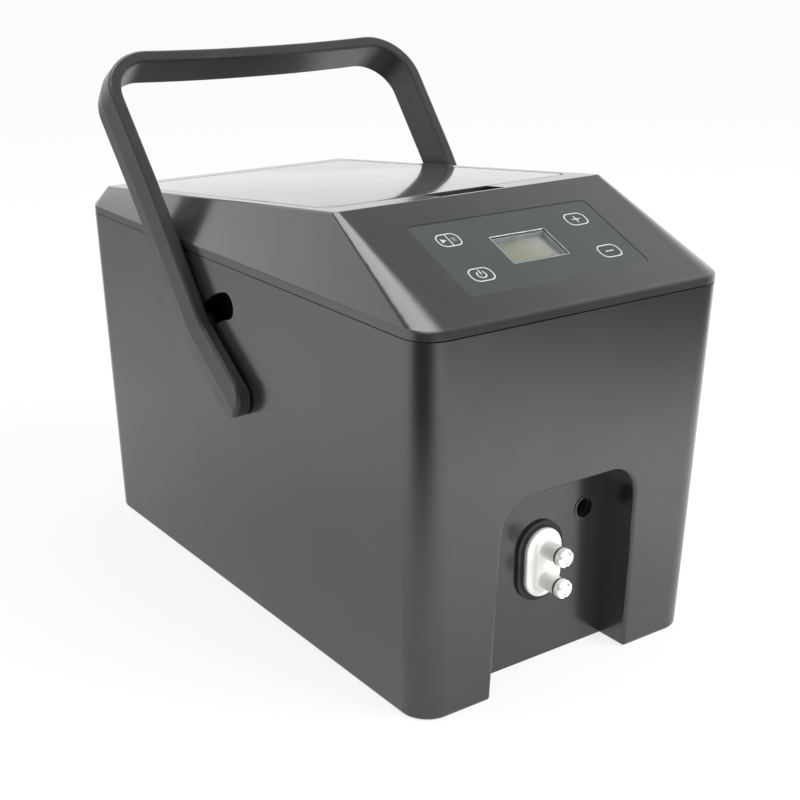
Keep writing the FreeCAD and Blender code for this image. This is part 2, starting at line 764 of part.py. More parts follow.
def housing_solid():
    """Outer form of the upper housing, full."""
    band = Part.makeLoft([rect_wire(-HALF_W, HALF_W, -HALF_D, HALF_D, BODY_CORNER_R, SEAM_Z),
                          rect_wire(-HALF_W, HALF_W, -HALF_D, HALF_D, BODY_CORNER_R, BAND_Z)], True, True)
    roof = roof_volume(0)
    whole = band.fuse(roof)
    top_edges = edges_where(whole, lambda p: on_top_edge(p))
    whole = whole.makeFillet(TOP_EDGE_R, top_edges)
    band_edges = edges_where(whole, lambda p: abs(p.z - BAND_Z) < 1e-6)
    return whole.makeFillet(BAND_EDGE_R, band_edges)


def on_top_edge(point):
    """Whether a point lies in the plane of the top face."""
    local = TOP_FRAME.inverse().multVec(point)
    return abs(local.z) < 1e-6


def housing_lip():
    """Ring that drops inside the tub's rim, with the flange that joins it to the band."""
    outer = tub_volume(WALL + LIP_GAP, SEAM_Z - LIP_H, SEAM_Z + RIM_H / 2)
    flange = tub_volume(WALL / 2, SEAM_Z, SEAM_Z + RIM_H / 2)
    inner = tub_volume(WALL + LIP_GAP + LIP_T, SEAM_Z - LIP_H - WALL, SEAM_Z + RIM_H)
    return outer.fuse(flange).cut(inner)


def reveal_tool():
    """Shallow groove that makes the dark line at the seam."""
    outer = tub_volume(-REVEAL_IN, SEAM_Z - REVEAL_H, SEAM_Z + REVEAL_H)
    return outer.cut(tub_volume(REVEAL_IN, SEAM_Z - WALL, SEAM_Z + WALL))


def slope_cuts():
    """Everything cut into the sloped face for the panel, the lens and the keys."""
    floor = -PANEL_T - PANEL_SUNK
    tools = [film_plate(LENS_GAP, floor, WALL), lens_plate(LENS_GAP, -PANEL_SUNK - LENS_T, WALL)]
    tools.append(block(-LCD_HALF_W + LCD_LEDGE, LCD_HALF_W - LCD_LEDGE, -LCD_BOTTOM_S + LCD_LEDGE,
                       -LCD_TOP_S - LCD_LEDGE, -2 * WALL, WALL))
    pocket = -PANEL_SUNK - KEY_T - KEY_TRAVEL - KEY_GAP / 2
    for x, s in key_spots().values():
        tools.append(key_outline(x, s, KEY_GAP, pocket, WALL))
        tools.append(rod(KEY_STEM_R + KEY_STEM_GAP, Vector(x, -s, -2 * WALL), Vector(x, -s, 0)))
    return [placed(tool, SLOPE_FRAME) for tool in tools]


def top_housing():
    """Upper housing with the panel pocket, the lid's seat and the boss for each corner screw."""
    form = housing_solid()
    inner_band = slab(-HALF_W + WALL, HALF_W - WALL, -HALF_D + WALL, HALF_D - WALL, BODY_CORNER_R - WALL,
                      SEAM_Z - WALL, BAND_Z - WALL * ROOF_DROP_SHARE)
    shell = form.cut(inner_band).cut(roof_volume(WALL))
    shell = shell.fuse(housing_lip())
    extras = [top_plate(SEAT_HALF_W + WALL, SEAT_T0 - WALL, SEAT_T1 + WALL, LID_CORNER_R + WALL,
                        -LEDGE_LOW, 0)]
    extras.append(top_plate(SCOOP_HALF_W + WALL, 0, SEAT_T0, WALL, -SCOOP_PAD_T, 0))
    for x, y in post_spots():
        extras.append(rod(HOUSING_BOSS_R, Vector(x, y, POST_TOP_Z), Vector(x, y, TOP_FRONT_Z)))
    extras += [placed(p, SLOPE_FRAME) for p in panel_bosses(BOARD_BOSS_R, -board_top_depth(), -WALL / 2)]
    cap = form.fuse(tub_volume(WALL + LIP_GAP, POST_TOP_Z, SEAM_Z))
    for extra in extras:
        shell = shell.fuse(extra.common(cap))
    tools = [top_plate(SEAT_HALF_W, SEAT_T0, SEAT_T1, LID_CORNER_R + LID_GAP, -LID_SEAT_DEPTH, WALL)]
    tools.append(top_plate(MOUTH_HALF_W, MOUTH_T0, MOUTH_T1, MOUTH_R, -3 * LEDGE_LOW, WALL))
    tools.append(scoop_tool())
    tools += slope_cuts()
    for x, y in post_spots():
        tools.append(rod(SCREW_R + SCREW_PLAY, Vector(x, y, POST_TOP_Z - WALL),
                         Vector(x, y, POST_TOP_Z + SCREW_BITE + SCREW_PLAY)))
    board_holes = panel_bosses(BOARD_SCREW_R + SCREW_PLAY, -board_top_depth() - WALL,
                               -board_top_depth() + BOARD_SCREW_BITE + SCREW_PLAY)
    tank_holes = tank_screw_rods(TANK_SCREW_R + SCREW_PLAY, -LEDGE_LOW - WALL,
                                 -LEDGE_LOW + TANK_SCREW_BITE + SCREW_PLAY)
    tools += [placed(hole, SLOPE_FRAME) for hole in board_holes]
    tools += [placed(hole, TOP_FRAME) for hole in tank_holes]
    for tool in tools:
        shell = shell.cut(tool)
    return shell.cut(reveal_tool()).removeSplitter()


# ---------------------------------------------------------------- tank, foam and lid
def tank_screw_rods(radius, low, high):
    """Screw axes round the tank's flange, in the top face's frame."""
    x = SEAT_HALF_W - TANK_SCREW_IN
    rows = [MOUTH_T0 + share * (MOUTH_T1 - MOUTH_T0) for share in TANK_SCREW_ROWS]
    spots = [(side * x, t) for side in (-1, 1) for t in rows]
    return [rod(radius, Vector(px, t, low), Vector(px, t, high)) for px, t in spots]


def mouth_y(t):
    """Depth in the machine's frame of a place along the top face."""
    return TOP_FRAME.multVec(Vector(0, t, 0)).y


def tank_volume(grow, z0, z1):
    """Drafted tank body, grown by a wall, from a floor to a height."""
    def outline(z):
        inward = TANK_DRAFT * (TOP_FRONT_Z - z) - grow
        half = MOUTH_HALF_W + TANK_SIDE_EASE - inward
        return rect_wire(-half, half, mouth_y(MOUTH_T0) - TANK_FRONT_EASE + inward,
                         mouth_y(MOUTH_T1) + TANK_SIDE_EASE - inward, TANK_CORNER_R + grow, z)
    return Part.makeLoft([outline(z0), outline(z1)], True, True)


def tank_front_y(z, grow=TANK_WALL):
    """Front face of the tank at a height."""
    return mouth_y(MOUTH_T0) - TANK_FRONT_EASE + TANK_DRAFT * (TOP_FRONT_Z - z) - grow


def above_plane(depth):
    """Everything above a plane parallel to the top face, sunk by a depth."""
    return placed(block(-FAR / 2, FAR / 2, -FAR / 2, FAR, -depth, FAR), TOP_FRAME)


def inner_tank():
    """Open tank whose flange is screwed under the lid's seat."""
    flange_low = LEDGE_LOW + TANK_FLANGE_T
    body = tank_volume(TANK_WALL, TANK_FLOOR_Z, TOP_FRONT_Z).cut(above_plane(LEDGE_LOW))
    flange = top_plate(SEAT_HALF_W, SEAT_T0, SEAT_T1, LID_CORNER_R, -flange_low, -LEDGE_LOW)
    tank = body.fuse(flange).cut(tank_volume(0, TANK_FLOOR_Z + TANK_WALL, TOP_FRONT_Z + WALL))
    for hole in tank_screw_rods(TANK_SCREW_R + SCREW_PLAY, -flange_low - WALL, 0):
        tank = tank.cut(placed(hole, TOP_FRAME))
    for x, z, radius in tank_ports():
        front = Vector(x, tank_front_y(z) - WALL, z)
        tank = tank.cut(rod(radius, front, front + Vector(0, 3 * WALL, 0)))
    return tank.removeSplitter()


def tank_ports():
    """Holes in the tank's front wall: outlet, return and probe."""
    return [(PUMP_X, OUTLET_Z, FITTING_R), (RETURN_X, RETURN_Z, FITTING_R), (PROBE_X, PROBE_Z, PROBE_R)]


def tank_screws():
    """Six screws through the flange into the lid's seat."""
    screws = []
    under = -LEDGE_LOW - TANK_FLANGE_T
    heads = tank_screw_rods(TANK_SCREW_HEAD_R, under - TANK_SCREW_HEAD_H, under)
    shanks = tank_screw_rods(TANK_SCREW_R, under, -LEDGE_LOW + TANK_SCREW_BITE)
    for head, shank in zip(heads, shanks):
        screws.append(placed(head.fuse(shank).removeSplitter(), TOP_FRAME))
    return Part.makeCompound(screws)


def tank_foam():
    """Foam jacket round the tank's sides and under its floor."""
    low = BASE_Z + FLOOR_T + FOAM_FLOOR_GAP
    jacket = tank_volume(TANK_WALL + FOAM_T, low, FOAM_TOP_Z)
    jacket = jacket.cut(tank_volume(TANK_WALL, TANK_FLOOR_Z, FOAM_TOP_Z + WALL))
    for x, z, radius in tank_ports():
        clear = (FITTING_FLANGE_R if radius == FITTING_R else radius) + PORT_CLEAR
        jacket = jacket.cut(rod(clear, Vector(x, tank_front_y(z) - 2 * FOAM_T, z),
                                Vector(x, tank_front_y(z) + WALL, z)))
    return jacket


def lid_cover():
    """Flush lid plate."""
    return top_plate(LID_HALF_W, LID_FRONT_T, LID_REAR_T, LID_CORNER_R, -LID_PLATE_T, 0)


def lid_liner():
    """Tray under the lid plate that plugs the tank's mouth."""
    half = MOUTH_HALF_W - LINER_GAP
    t0, t1 = MOUTH_T0 + LINER_GAP, MOUTH_T1 - LINER_GAP
    tray = top_plate(half, t0, t1, MOUTH_R - LINER_GAP, -LINER_DEPTH, -LID_PLATE_T)
    core = top_plate(half - LINER_WALL, t0 + LINER_WALL, t1 - LINER_WALL, MOUTH_R - LINER_GAP - LINER_WALL,
                     -LINER_DEPTH + LINER_WALL, 0)
    return tray.cut(core)


def lid_foam():
    """Foam block inside the lid."""
    half = MOUTH_HALF_W - LINER_GAP - LINER_WALL
    t0 = MOUTH_T0 + LINER_GAP + LINER_WALL
    t1 = MOUTH_T1 - LINER_GAP - LINER_WALL
    return top_plate(half, t0, t1, MOUTH_R - LINER_GAP - LINER_WALL, -LINER_DEPTH + LINER_WALL, -LID_PLATE_T)


def lid_seal():
    """Flat rubber ring under the lid plate's rim."""
    low, high = -LID_PLATE_T - SEAL_T, -LID_PLATE_T
    outer = top_plate(LID_HALF_W - SEAL_IN, LID_FRONT_T + SEAL_IN, LID_REAR_T - SEAL_IN,
                      LID_CORNER_R - SEAL_IN, low, high)
    inset = SEAL_IN + SEAL_W
    inner = top_plate(LID_HALF_W - inset, LID_FRONT_T + inset, LID_REAR_T - inset, MOUTH_R - SEAL_IN,
                      low - WALL, high + WALL)
    return outer.cut(inner)


# ---------------------------------------------------------------- key panel and electronics
def panel_overlay():
    """Printed film plate with a window for the display and one for each key."""
    low, high = -PANEL_SUNK - PANEL_T, -PANEL_SUNK
    plate = film_plate(0, low, high).cut(lens_plate(LENS_GAP, -WALL, WALL))
    for x, s in key_spots().values():
        plate = plate.cut(key_outline(x, s, KEY_GAP, -WALL, WALL))
    return placed(plate, SLOPE_FRAME)


def display_lens():
    """Clear window over the display."""
    return placed(lens_plate(0, -PANEL_SUNK - LENS_T, -PANEL_SUNK), SLOPE_FRAME)


def display_module():
    """Liquid crystal display behind the lens."""
    top = -WALL - MODULE_GAP
    cell = slab(-LCD_HALF_W - MODULE_MARGIN, LCD_HALF_W + MODULE_MARGIN, -LCD_BOTTOM_S - MODULE_MARGIN,
                -LCD_TOP_S + MODULE_MARGIN, MODULE_CORNER_R, top - MODULE_T, top)
    return placed(cell, SLOPE_FRAME)


def switch_top():
    """Height of a tact switch's button above the slope's datum (negative: below)."""
    return -board_top_depth() + SWITCH_H


def key_cap(name):
    """Pill-shaped key with a stem that reaches down to its switch."""
    x, s = key_spots()[name]
    cap = key_outline(x, s, 0, -PANEL_SUNK - KEY_T, -PANEL_SUNK)
    stem = rod(KEY_STEM_R, Vector(x, -s, switch_top() + SWITCH_GAP), Vector(x, -s, -PANEL_SUNK - KEY_T))
    return placed(cap.fuse(stem).removeSplitter(), SLOPE_FRAME)


def key_switches():
    """Four tact switches on the board, one under each key."""
    switches = []
    board = -board_top_depth()
    half = SWITCH_W / 2
    for x, s in key_spots().values():
        base = block(x - half, x + half, -s - half, -s + half, board, switch_top() - SWITCH_BUTTON_R / 2)
        button = rod(SWITCH_BUTTON_R, Vector(x, -s, board + SWITCH_H / 2), Vector(x, -s, switch_top()))
        switches.append(placed(base.fuse(button).removeSplitter(), SLOPE_FRAME))
    return Part.makeCompound(switches)


def control_board():
    """Circuit board that carries the display and the switches."""
    top = -board_top_depth()
    board = slab(-BOARD_HALF_W, BOARD_HALF_W, -board_bottom_s(), -board_top_s(),
                 BOARD_CORNER_R, top - BOARD_T, top)
    for hole in panel_bosses(BOARD_SCREW_R + SCREW_PLAY, top - BOARD_T - WALL, top + WALL):
        board = board.cut(hole)
    return placed(board, SLOPE_FRAME)


def board_screws():
    """Four screws that hold the board to its posts."""
    under = -board_top_depth() - BOARD_T
    heads = panel_bosses(BOARD_SCREW_HEAD_R, under - BOARD_SCREW_HEAD_H, under)
    shanks = panel_bosses(BOARD_SCREW_R, under, -board_top_depth() + BOARD_SCREW_BITE)
    screws = [placed(h.fuse(s).removeSplitter(), SLOPE_FRAME) for h, s in zip(heads, shanks)]
    return Part.makeCompound(screws)


# ---------------------------------------------------------------- hose coupling and power inlet
def nozzle_heights():
    """Heights of the upper and lower nozzle."""
    return {"upper": CPL_Z + NOZZLE_PITCH / 2, "lower": CPL_Z - NOZZLE_PITCH / 2}


PLATE_FACE_Y = RECESS_Y - PLATE_PROUD
TIP_Y = PLATE_FACE_Y - NOZZLE_LEN
ORING_Y = TIP_Y + TIP_L + ORING_WIRE_R
SPIGOT_END_Y = RECESS_INNER_Y + SPIGOT_BACK
VALVE_SEAT_Y = TIP_Y + VALVE_BORE_L
HOSE_MOUTH_Y = SPIGOT_END_Y + CLAMP_T + HOSE_CLAMP_GAP


def coupling_gasket():
    """Black ring between the coupling plate and the casing, with a raised rim."""
    flat = obround(GASKET_W, GASKET_H, RECESS_Y - GASKET_T, RECESS_Y)
    lip = obround(GASKET_W, GASKET_H, RECESS_Y - GASKET_T - GASKET_LIP, RECESS_Y - GASKET_T)
    lip = lip.cut(obround(GASKET_W - 2 * GASKET_LIP_W, GASKET_H - 2 * GASKET_LIP_W,
                          RECESS_Y - 2 * GASKET_T - WALL, RECESS_Y))
    hole = obround(PLATE_W + PLATE_SEAT_GAP, PLATE_H + PLATE_SEAT_GAP, RECESS_Y - 2 * WALL, RECESS_Y + WALL)
    return flat.fuse(lip).cut(hole).removeSplitter()


def on_nozzle(z, y, radius=0.0, degrees=0.0):
    """Point on or beside a nozzle's axis at a depth."""
    angle = math.radians(degrees)
    return Vector(CPL_X + radius * math.cos(angle), y, z + radius * math.sin(angle))


def notch_tool(z, degrees):
    """Round notch in a nozzle's tip."""
    spot = on_nozzle(z, TIP_Y - 1, NOZZLE_TIP_R, degrees)
    return rod(TIP_NOTCH_R, spot, spot + Vector(0, TIP_L - ORING_GROOVE_W + 1, 0))


def nozzle(z):
    """One nozzle with its collar, notched tip and the hose tail behind the wall."""
    face, neck = on_nozzle(z, PLATE_FACE_Y), on_nozzle(z, TIP_Y + TIP_L)
    tip = rod(NOZZLE_TIP_R, on_nozzle(z, TIP_Y), neck)
    for degrees in TIP_NOTCHES:
        tip = tip.cut(notch_tool(z, degrees))
    collar = rod(BOSS_R, on_nozzle(z, PLATE_FACE_Y - BOSS_H), face)
    tail = barbed_stem(on_nozzle(z, SPIGOT_END_Y), on_nozzle(z, SPIGOT_END_Y + BARB_L), BARB_R, BARB_BORE_R)
    return [collar, rod(NOZZLE_R, neck, face), tip, tail]


def nozzle_cuts(z):
    """The ring groove, the valve's bore and the water way of one nozzle."""
    neck = TIP_Y + TIP_L
    groove = ring(NOZZLE_TIP_R + 1, ORING_R - 2 * ORING_WIRE_R - SCREW_PLAY,
                  on_nozzle(z, neck), on_nozzle(z, neck + ORING_GROOVE_W))
    bore = rod(VALVE_BORE_R, on_nozzle(z, TIP_Y - 1), on_nozzle(z, VALVE_SEAT_Y))
    way = rod(VALVE_SEAT_R, on_nozzle(z, TIP_Y), on_nozzle(z, SPIGOT_END_Y + BARB_L / 2))
    return [groove, bore, way]


def coupling_body():
    """Twin-nozzle coupling: plate, two nozzles in front, spigot and two hose tails behind."""
    plate = obround(PLATE_W, PLATE_H, PLATE_FACE_Y, RECESS_Y)
    rim = edges_where(plate, lambda p: abs(p.y - PLATE_FACE_Y) < 1e-6)
    body = plate.makeFillet(PLATE_EDGE_R, rim)
    body = body.fuse(obround(SPIGOT_W, SPIGOT_H, RECESS_Y, SPIGOT_END_Y))
    for z in nozzle_heights().values():
        for piece in nozzle(z):
            body = body.fuse(piece)
    for z in nozzle_heights().values():
        for tool in nozzle_cuts(z):
            body = body.cut(tool)
    for hole in clamp_screw_rods(CLAMP_SCREW_R + SCREW_PLAY, SPIGOT_END_Y - CLAMP_SCREW_L, SPIGOT_END_Y + 1):
        body = body.cut(hole)
    return body.removeSplitter()


def clamp_screw_rods(radius, y0, y1):
    """Axes of the two screws of the coupling's clamp plate."""
    reach = SPIGOT_H / 2 - CLAMP_SCREW_R - CLAMP_SCREW_EDGE
    heights = [CPL_Z + side * reach for side in (-1, 1)]
    return [rod(radius, on_nozzle(z, y0), on_nozzle(z, y1)) for z in heights]


def coupling_clamp():
    """Plate behind the wall that pulls the coupling tight."""
    wide, high = SPIGOT_W + 2 * CLAMP_MARGIN, SPIGOT_H + 2 * CLAMP_MARGIN
    plate = obround(wide, high, SPIGOT_END_Y, SPIGOT_END_Y + CLAMP_T)
    skirt = obround(wide, high, RECESS_INNER_Y, SPIGOT_END_Y)
    skirt = skirt.cut(obround(SPIGOT_W + 2 * PLATE_SEAT_GAP, SPIGOT_H + 2 * PLATE_SEAT_GAP,
                              RECESS_INNER_Y - WALL, SPIGOT_END_Y + CLAMP_T))
    plate = plate.fuse(skirt)
    for z in nozzle_heights().values():
        far = on_nozzle(z, SPIGOT_END_Y + CLAMP_T + 1)
        plate = plate.cut(rod(BARB_R + 1, on_nozzle(z, SPIGOT_END_Y - 1), far))
    holes = clamp_screw_rods(CLAMP_SCREW_R + 2 * SCREW_PLAY, SPIGOT_END_Y - 1, SPIGOT_END_Y + CLAMP_T + 1)
    for hole in holes:
        plate = plate.cut(hole)
    return plate.removeSplitter()


def coupling_screws():
    """Two screws through the clamp plate into the coupling."""
    seat = SPIGOT_END_Y + CLAMP_T
    heads = clamp_screw_rods(CLAMP_SCREW_R * CLAMP_SCREW_HEAD, seat, seat + CLAMP_SCREW_R)
    shanks = clamp_screw_rods(CLAMP_SCREW_R, SPIGOT_END_Y - CLAMP_SCREW_L + SCREW_PLAY, seat)
    return Part.makeCompound([h.fuse(s).removeSplitter() for h, s in zip(heads, shanks)])


def nozzle_o_rings():
    """One rubber ring in the groove of each nozzle."""
    centre_r = ORING_R - ORING_WIRE_R
    return Part.makeCompound([Part.makeTorus(centre_r, ORING_WIRE_R, on_nozzle(z, ORING_Y), Y_AXIS)
                              for z in nozzle_heights().values()])


def valve_poppet(which):
    """Shut-off poppet: a notched head in the nozzle's mouth and a stem through the seat."""
    z = nozzle_heights()[which]
    face = TIP_Y + POPPET_SUNK
    shoulder = on_nozzle(z, face + POPPET_HEAD_L)
    head = rod(POPPET_R, on_nozzle(z, face), shoulder)
    for degrees in TIP_NOTCHES:
        spot = on_nozzle(z, face - 1, POPPET_R, degrees)
        head = head.cut(rod(POPPET_NOTCH_R, spot, spot + Vector(0, POPPET_HEAD_L + 2, 0)))
    stem = rod(POPPET_STEM_R, shoulder, shoulder + Vector(0, POPPET_STEM_L, 0))
    return head.fuse(stem).removeSplitter()


def valve_spring(which):
    """Coil spring between a poppet's head and its seat."""
    z = nozzle_heights()[which]
    start = TIP_Y + POPPET_SUNK + POPPET_HEAD_L + SPRING_WIRE_R + SCREW_PLAY
    length = VALVE_SEAT_Y - start - SPRING_WIRE_R - POPPET_TRAVEL - SPRING_SPARE
    helix = Part.makeHelix(SPRING_PITCH, length, SPRING_COIL_R)
    inside, outside = SPRING_COIL_R - SPRING_WIRE_R, SPRING_COIL_R + SPRING_WIRE_R
    profile = Part.makePolygon([Vector(inside, 0, -SPRING_WIRE_R), Vector(outside, 0, -SPRING_WIRE_R),
                                Vector(outside, 0, SPRING_WIRE_R), Vector(inside, 0, SPRING_WIRE_R),
                                Vector(inside, 0, -SPRING_WIRE_R)])
    coil = Part.Wire(helix).makePipeShell([profile], True, True)
    return placed(coil, Placement(Vector(CPL_X, start, z), Rotation(X_AXIS, -90)))


def power_socket():
    """Recessed low-voltage socket behind its access hole."""
    y0 = RECESS_INNER_Y
    floor = y0 + JACK_CUP_L
    back = floor + JACK_SOCKET_L + JACK_BACK_T
    centre = Vector(JACK_X, 0, JACK_Z)
    body = rod(JACK_BODY_R, centre + Vector(0, y0, 0), centre + Vector(0, back, 0))
    body = body.cut(rod(JACK_CUP_R, centre + Vector(0, y0 - 1, 0), centre + Vector(0, floor, 0)))
    body = body.cut(rod(JACK_SOCKET_R, centre + Vector(0, floor - 1, 0),
                        centre + Vector(0, floor + JACK_SOCKET_L, 0)))
    return body.fuse(rod(JACK_PIN_R, centre + Vector(0, floor + 1, 0),
                         centre + Vector(0, floor + JACK_SOCKET_L + 1, 0))).removeSplitter()


def socket_bezel():
    """Flanged ring that lines the socket's access hole in the recess wall."""
    face, centre = Vector(JACK_X, RECESS_Y, JACK_Z), Vector(JACK_X, 0, JACK_Z)
    flange = rod(JACK_RIM_R, face - Vector(0, JACK_RIM_T, 0), face)
    sleeve = rod(JACK_SLEEVE_R, face, centre + Vector(0, RECESS_INNER_Y, 0))
    bore = rod(JACK_BORE_R, face - Vector(0, WALL, 0), face + Vector(0, 2 * WALL, 0))
    return flange.fuse(sleeve).cut(bore).removeSplitter()


def power_socket_nut():
    """Ring nut that holds the socket to the recess wall."""
    centre = Vector(JACK_X, 0, JACK_Z)
    return ring(JACK_NUT_R, JACK_BODY_R, centre + Vector(0, RECESS_INNER_Y, 0),
                centre + Vector(0, RECESS_INNER_Y + JACK_NUT_T, 0))


# ---------------------------------------------------------------- carry handle
def strap_section():
    """Strap outline as (outward, forward) pairs with a rounding for each corner."""
    half = STRAP_W / 2
    return [((-STRAP_T, -half), STRAP_EDGE_R), ((-STRAP_T, half), STRAP_EDGE_R), ((0.0, half), STRAP_FRONT_R),
            ((STRAP_CROWN, 0.0), STRAP_RIDGE_R), ((0.0, -half), STRAP_EDGE_R)]


class Strap:
    """Builds the handle by moving a section along straights and bends."""

    def __init__(self, origin, along, outward, forward):
        self.origin, self.along, self.outward, self.forward = origin, along, outward, forward
        self.pieces = []

    def face(self):
        """The strap's section at the present place."""
        points, radii = [], []
        for (n, u), radius in strap_section():
            points.append(self.origin + self.outward * n + self.forward * u)
            radii.append(radius)
        return Part.Face(rounded_polygon(points, radii))

    def straight(self, length):
        """Extrude forward and move on."""
        self.pieces.append(self.face().extrude(self.along * length))
        self.origin = self.origin + self.along * length

    def bend(self, towards, degrees, radius):
        """Turn towards a direction about a centre that far to the side."""
        axis = self.along.cross(towards)
        centre = self.origin + towards * radius
        self.pieces.append(self.face().revolve(centre, axis, degrees))
        turn = Rotation(axis, degrees)
        self.origin = centre + turn.multVec(self.origin - centre)
        self.along = turn.multVec(self.along)
        self.outward = turn.multVec(self.outward)
        self.forward = turn.multVec(self.forward)


def arm_start():
    """The left strap's frame at the pivot: place, upward direction, outward and forward."""
    side = math.radians(DRAFT_DEG)
    outward = Vector(-math.cos(side), 0, -math.sin(side))
    up = Vector(-math.sin(side), 0, math.cos(side))
    lean = math.radians(LEG_LEAN)
    along = Y_AXIS * math.sin(lean) + up * math.cos(lean)
    forward = Y_AXIS * -math.cos(lean) + up * math.sin(lean)
    wall = Vector(-half_w(PIVOT_Z), PIVOT_Y, PIVOT_Z)
    return wall + outward * (HANDLE_GAP + STRAP_T), along, outward, forward


def strap_end(origin, outward):
    """Round form that shapes the strap's end about the pivot."""
    rim = origin + outward * (STRAP_CROWN + SCREW_PLAY)
    disc = rod(STRAP_W / 2, origin - outward * (STRAP_T + 1), rim)
    outer = edges_where(disc, lambda p: abs((p - rim).dot(outward)) < 1e-6)
    return disc.makeFillet(STRAP_END_R, outer)


def handle_half():
    """Left half of the handle, from the rounded end to the middle of the grip."""
    origin, along, outward, forward = arm_start()
    strap = Strap(origin - along * STRAP_W, along, outward, forward)
    strap.straight(STRAP_W)
    end = strap.pieces.pop()
    strap.pieces.append(end.common(strap_end(origin, outward)))
    knee_run = KNEE_R * math.tan(math.radians(LEG_LEAN - ARM_LEAN) / 2)
    bend_run = BEND_R * math.tan(math.radians(NECK_LEAN - ARM_LEAN) / 2)
    strap.straight(LEG_L - knee_run)
    strap.bend(strap.forward, LEG_LEAN - ARM_LEAN, KNEE_R)
    strap.straight(ARM_L - knee_run - bend_run)
    strap.bend(strap.forward * -1, NECK_LEAN - ARM_LEAN, BEND_R)
    strap.straight(NECK_L - bend_run - GRIP_CORNER_R)
    strap.bend(strap.outward * -1, 90 + DRAFT_DEG + GRIP_SAG_DEG, GRIP_CORNER_R)
    sag_r = -strap.origin.x / math.sin(math.radians(GRIP_SAG_DEG))
    strap.bend(strap.outward, GRIP_SAG_DEG + DRAFT_DEG, sag_r)
    left = block(-FAR, 0, -FAR, FAR, -FAR, FAR)
    return fuse_all(strap.pieces).common(left)


def arm_inner_x():
    """Inner face of the strap at the pivot, as a distance from the middle."""
    return half_w(PIVOT_Z) + HANDLE_GAP


def peg_centre():
    """Middle of the stop peg in the side view, handle at rest."""
    return swing_point(PEG_ORBIT_R, PEG_LEAN)


def peg_inner_x():
    """Inner face of the strap at the stop peg."""
    return half_w(peg_centre().z) + HANDLE_GAP


def carry_handle():
    """Moulded bail: two cranked straps and a grip in one piece."""
    half = handle_half()
    pin = rod(PIN_R, Vector(-arm_inner_x() - PIN_IN_ARM, PIVOT_Y, PIVOT_Z), Vector(0, PIVOT_Y, PIVOT_Z))
    half = half.cut(pin)
    peg = peg_centre()
    spigot = rod(PEG_SPIGOT_R, Vector(-peg_inner_x() - PEG_SPIGOT_L, peg.y, peg.z), Vector(0, peg.y, peg.z))
    half = half.cut(spigot)
    return half.fuse(mirrored(half)).removeSplitter()


def handle_pivot_pins():
    """Steel pins pressed in the straps, each with a groove for its clip."""
    tail = half_w(PIVOT_Z) - WALL - BOSS_PROUD - PIN_TAIL
    pin = rod(PIN_R, Vector(-arm_inner_x() - PIN_IN_ARM, PIVOT_Y, PIVOT_Z), Vector(-tail, PIVOT_Y, PIVOT_Z))
    groove_x = half_w(PIVOT_Z) - WALL - BOSS_PROUD - CLIP_GAP
    groove = ring(PIN_R + 1, PIN_R - PIN_GROOVE, Vector(-groove_x, PIVOT_Y, PIVOT_Z),
                  Vector(-groove_x + CLIP_T + SCREW_PLAY, PIVOT_Y, PIVOT_Z))
    return both_sides(pin.cut(groove))


def handle_bushes():
    """Plain bushes in the tub's sides that the pins turn in."""
    x_out = half_w(PIVOT_Z)
    x_in = x_out - WALL - BOSS_PROUD
    return both_sides(ring(BUSH_R, PIN_R + BUSH_RUN_GAP, Vector(-x_out, PIVOT_Y, PIVOT_Z),
                           Vector(-x_in, PIVOT_Y, PIVOT_Z)))


def handle_clips():
    """Retaining rings on the pins inside the tub."""
    x_out = half_w(PIVOT_Z) - WALL - BOSS_PROUD - CLIP_GAP
    return both_sides(ring(CLIP_R, PIN_R - PIN_GROOVE, Vector(-x_out, PIVOT_Y, PIVOT_Z),
                           Vector(-x_out + CLIP_T, PIVOT_Y, PIVOT_Z)))


def handle_stop_pegs():
    """Pegs on the straps' inner sides that run in the arc slots and stop the swing."""
    peg = peg_centre()
    x_arm = peg_inner_x()
    slant = PEG_R * DRAFT
    x_top = x_arm - slant - SCREW_PLAY
    body = rod(PEG_R, Vector(-x_top, peg.y, peg.z), Vector(-x_top + PEG_REACH, peg.y, peg.z))
    spigot = rod(PEG_SPIGOT_R, Vector(-x_arm - PEG_SPIGOT_L, peg.y, peg.z), Vector(-x_top, peg.y, peg.z))
    return both_sides(body.fuse(spigot).removeSplitter())


# ---------------------------------------------------------------- pump and plumbing
def foam_front_y(z):
    """Front face of the tank's foam at a height."""
    return tank_front_y(z, TANK_WALL + FOAM_T)


COVER_Y = foam_front_y(PUMP_Z) - PUMP_FACE_IN
VOLUTE_FRONT_Y = COVER_Y - COVER_T - VOLUTE_L
MOTOR_END_Y = VOLUTE_FRONT_Y - MOTOR_L
SHAFT_ROOT_Y = MOTOR_END_Y + SHAFT_FREE_L


def pump_point(y, dx=0.0, dz=0.0):
    """Point on or beside the pump's axis."""
    return Vector(PUMP_X + dx, y, PUMP_Z + dz)


def pump_cradle():
    """Saddle on the tub floor that the pump's motor lies in."""
    middle = (VOLUTE_FRONT_Y + MOTOR_END_Y) / 2
    saddle = block(PUMP_X - MOTOR_R, PUMP_X + MOTOR_R, middle - CRADLE_HALF_L, middle + CRADLE_HALF_L,
                   BASE_Z + FLOOR_T / 2, PUMP_Z - MOTOR_R / 2)
    return saddle.cut(rod(MOTOR_R, pump_point(MOTOR_END_Y - FAR), pump_point(FAR)))


def volute_chamber():
    """The space that the impeller turns in."""
    return rod(VOLUTE_R - VOLUTE_WALL, pump_point(VOLUTE_FRONT_Y + VOLUTE_WALL), pump_point(COVER_Y))


